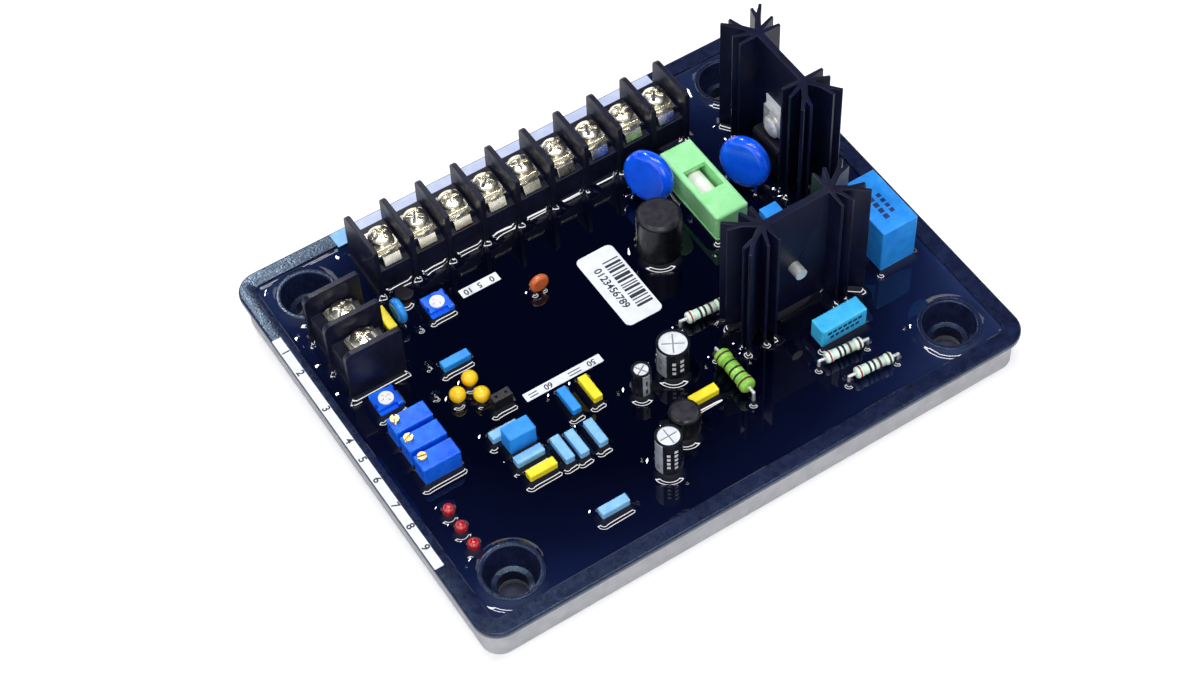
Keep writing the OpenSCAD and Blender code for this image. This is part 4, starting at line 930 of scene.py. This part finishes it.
# Far from the lamps the paper is lifted all the way, so that it meets the white wall.
nearness = add_node(tree, "TexGradient", {"Vector": place}, gradient_type="SPHERICAL")
level = add_node(
    tree, "MapRange",
    {"Value": nearness.outputs["Fac"], "From Max": 0.85, "To Min": LIFT_FAR, "To Max": LIFT_NEAR},
)
lift = add_node(
    tree, "Math", {0: seen_or_mirrored(tree), 1: level.outputs["Result"]}, operation="MULTIPLY"
)
tree.links.new(lift.outputs["Value"], shader.inputs["Emission Strength"])
flat_sheet("floor", (12000, 12000), -0.1, paper)
# A white gauze wall stands far off, for low views. The room's soft light passes through it.
gauze, tree, shader, place = new_material(
    "backdrop_gauze_white", "#EBEBEB", 0.9, Emission_Color=(1, 1, 1, 1), Emission_Strength=1.0
)
tree.links.new(seen_or_mirrored(tree), shader.inputs["Alpha"])
round_wall("wall", 5500, 2000, gauze)
# A dark sheet lies under the object alone, as painted shade: it stands in for the shadow that the bolt holes
# look down on.
hole_shade_paint = moulded("painted_shade_slate", "#30344C", "#3A3F5A", 0.7)
flat_sheet("painted_shade_under_object", (126, 99), -0.03, hole_shade_paint)

# A frame of four strip lamps hangs over the object, square to the camera: the resin mirrors it in loops.
FRAME_ROLL = math.radians(30.4)
ACROSS = Vector((math.cos(FRAME_ROLL), -math.sin(FRAME_ROLL), 0))
AWAY = Vector((math.sin(FRAME_ROLL), math.cos(FRAME_ROLL), 0))
FRAME_UP = Vector((0, 0, 620))
for name, at, size, power in (
    ("near_strip", ACROSS * 30 - AWAY * 62, (460, 30), 0.98),
    ("far_strip", ACROSS * 30 + AWAY * 62, (460, 30), 0.98),
    ("left_strip", ACROSS * -185, (30, 94), 0.22),
    ("right_strip", ACROSS * 245, (30, 94), 0.22),
):
    lamp(name, at + FRAME_UP, at, size, power, FRAME_ROLL)
SOFTBOX = (350, 350)
SOFTBOX_AIM = (0, 0, 10)
lamp("left_softbox", (-650, -150, 420), SOFTBOX_AIM, SOFTBOX, 0.7)
lamp("front_softbox", (-260, -560, 430), SOFTBOX_AIM, SOFTBOX, 1.2)
# A small lamp far behind the left corner makes the rim's grain sparkle there.
lamp("corner_lamp", (20, 520, 545), (-66, 50, 15), (70, 70), 1.6)

# The room is dim beyond the object and pale behind the camera.
world = bpy.data.worlds.new("studio")
bpy.context.scene.world = world
world.use_nodes = True
tree = world.node_tree
way = add_node(tree, "TexCoord").outputs["Generated"]
facing = add_node(tree, "VectorMath", {0: way, 1: -AWAY}, operation="DOT_PRODUCT").outputs["Value"]
share = add_node(tree, "MapRange", {"Value": facing, "From Min": -1.0}).outputs["Result"]
room = add_node(tree, "ValToRGB", {"Fac": share})
room.color_ramp.elements[0].position = 0.35
room.color_ramp.elements[0].color = (0.02, 0.03, 0.1, 1)
room.color_ramp.elements[1].position = 0.85
room.color_ramp.elements[1].color = (0.7, 0.7, 0.71, 1)
tree.links.new(room.outputs["Color"], tree.nodes["Background"].inputs["Color"])
tree.nodes["Background"].inputs["Strength"].default_value = 1.0

CAMERA_AT = (-182.83, -299.18, 471.77)
CAMERA_AIM = (-9.37, -3.79, 11.0)
CAMERA_ROLL = math.radians(3.07)
CAMERA_LENS = 75.45
CAMERA_SENSOR = 36
camera_data = bpy.data.cameras.new("camera")
camera_data.lens = CAMERA_LENS
camera_data.sensor_width = CAMERA_SENSOR
camera = bpy.data.objects.new("camera", camera_data)
bpy.context.scene.collection.objects.link(camera)
look_at(camera, CAMERA_AT, CAMERA_AIM, CAMERA_ROLL)
bpy.context.scene.camera = camera

bpy.context.scene.view_settings.view_transform = "Standard"
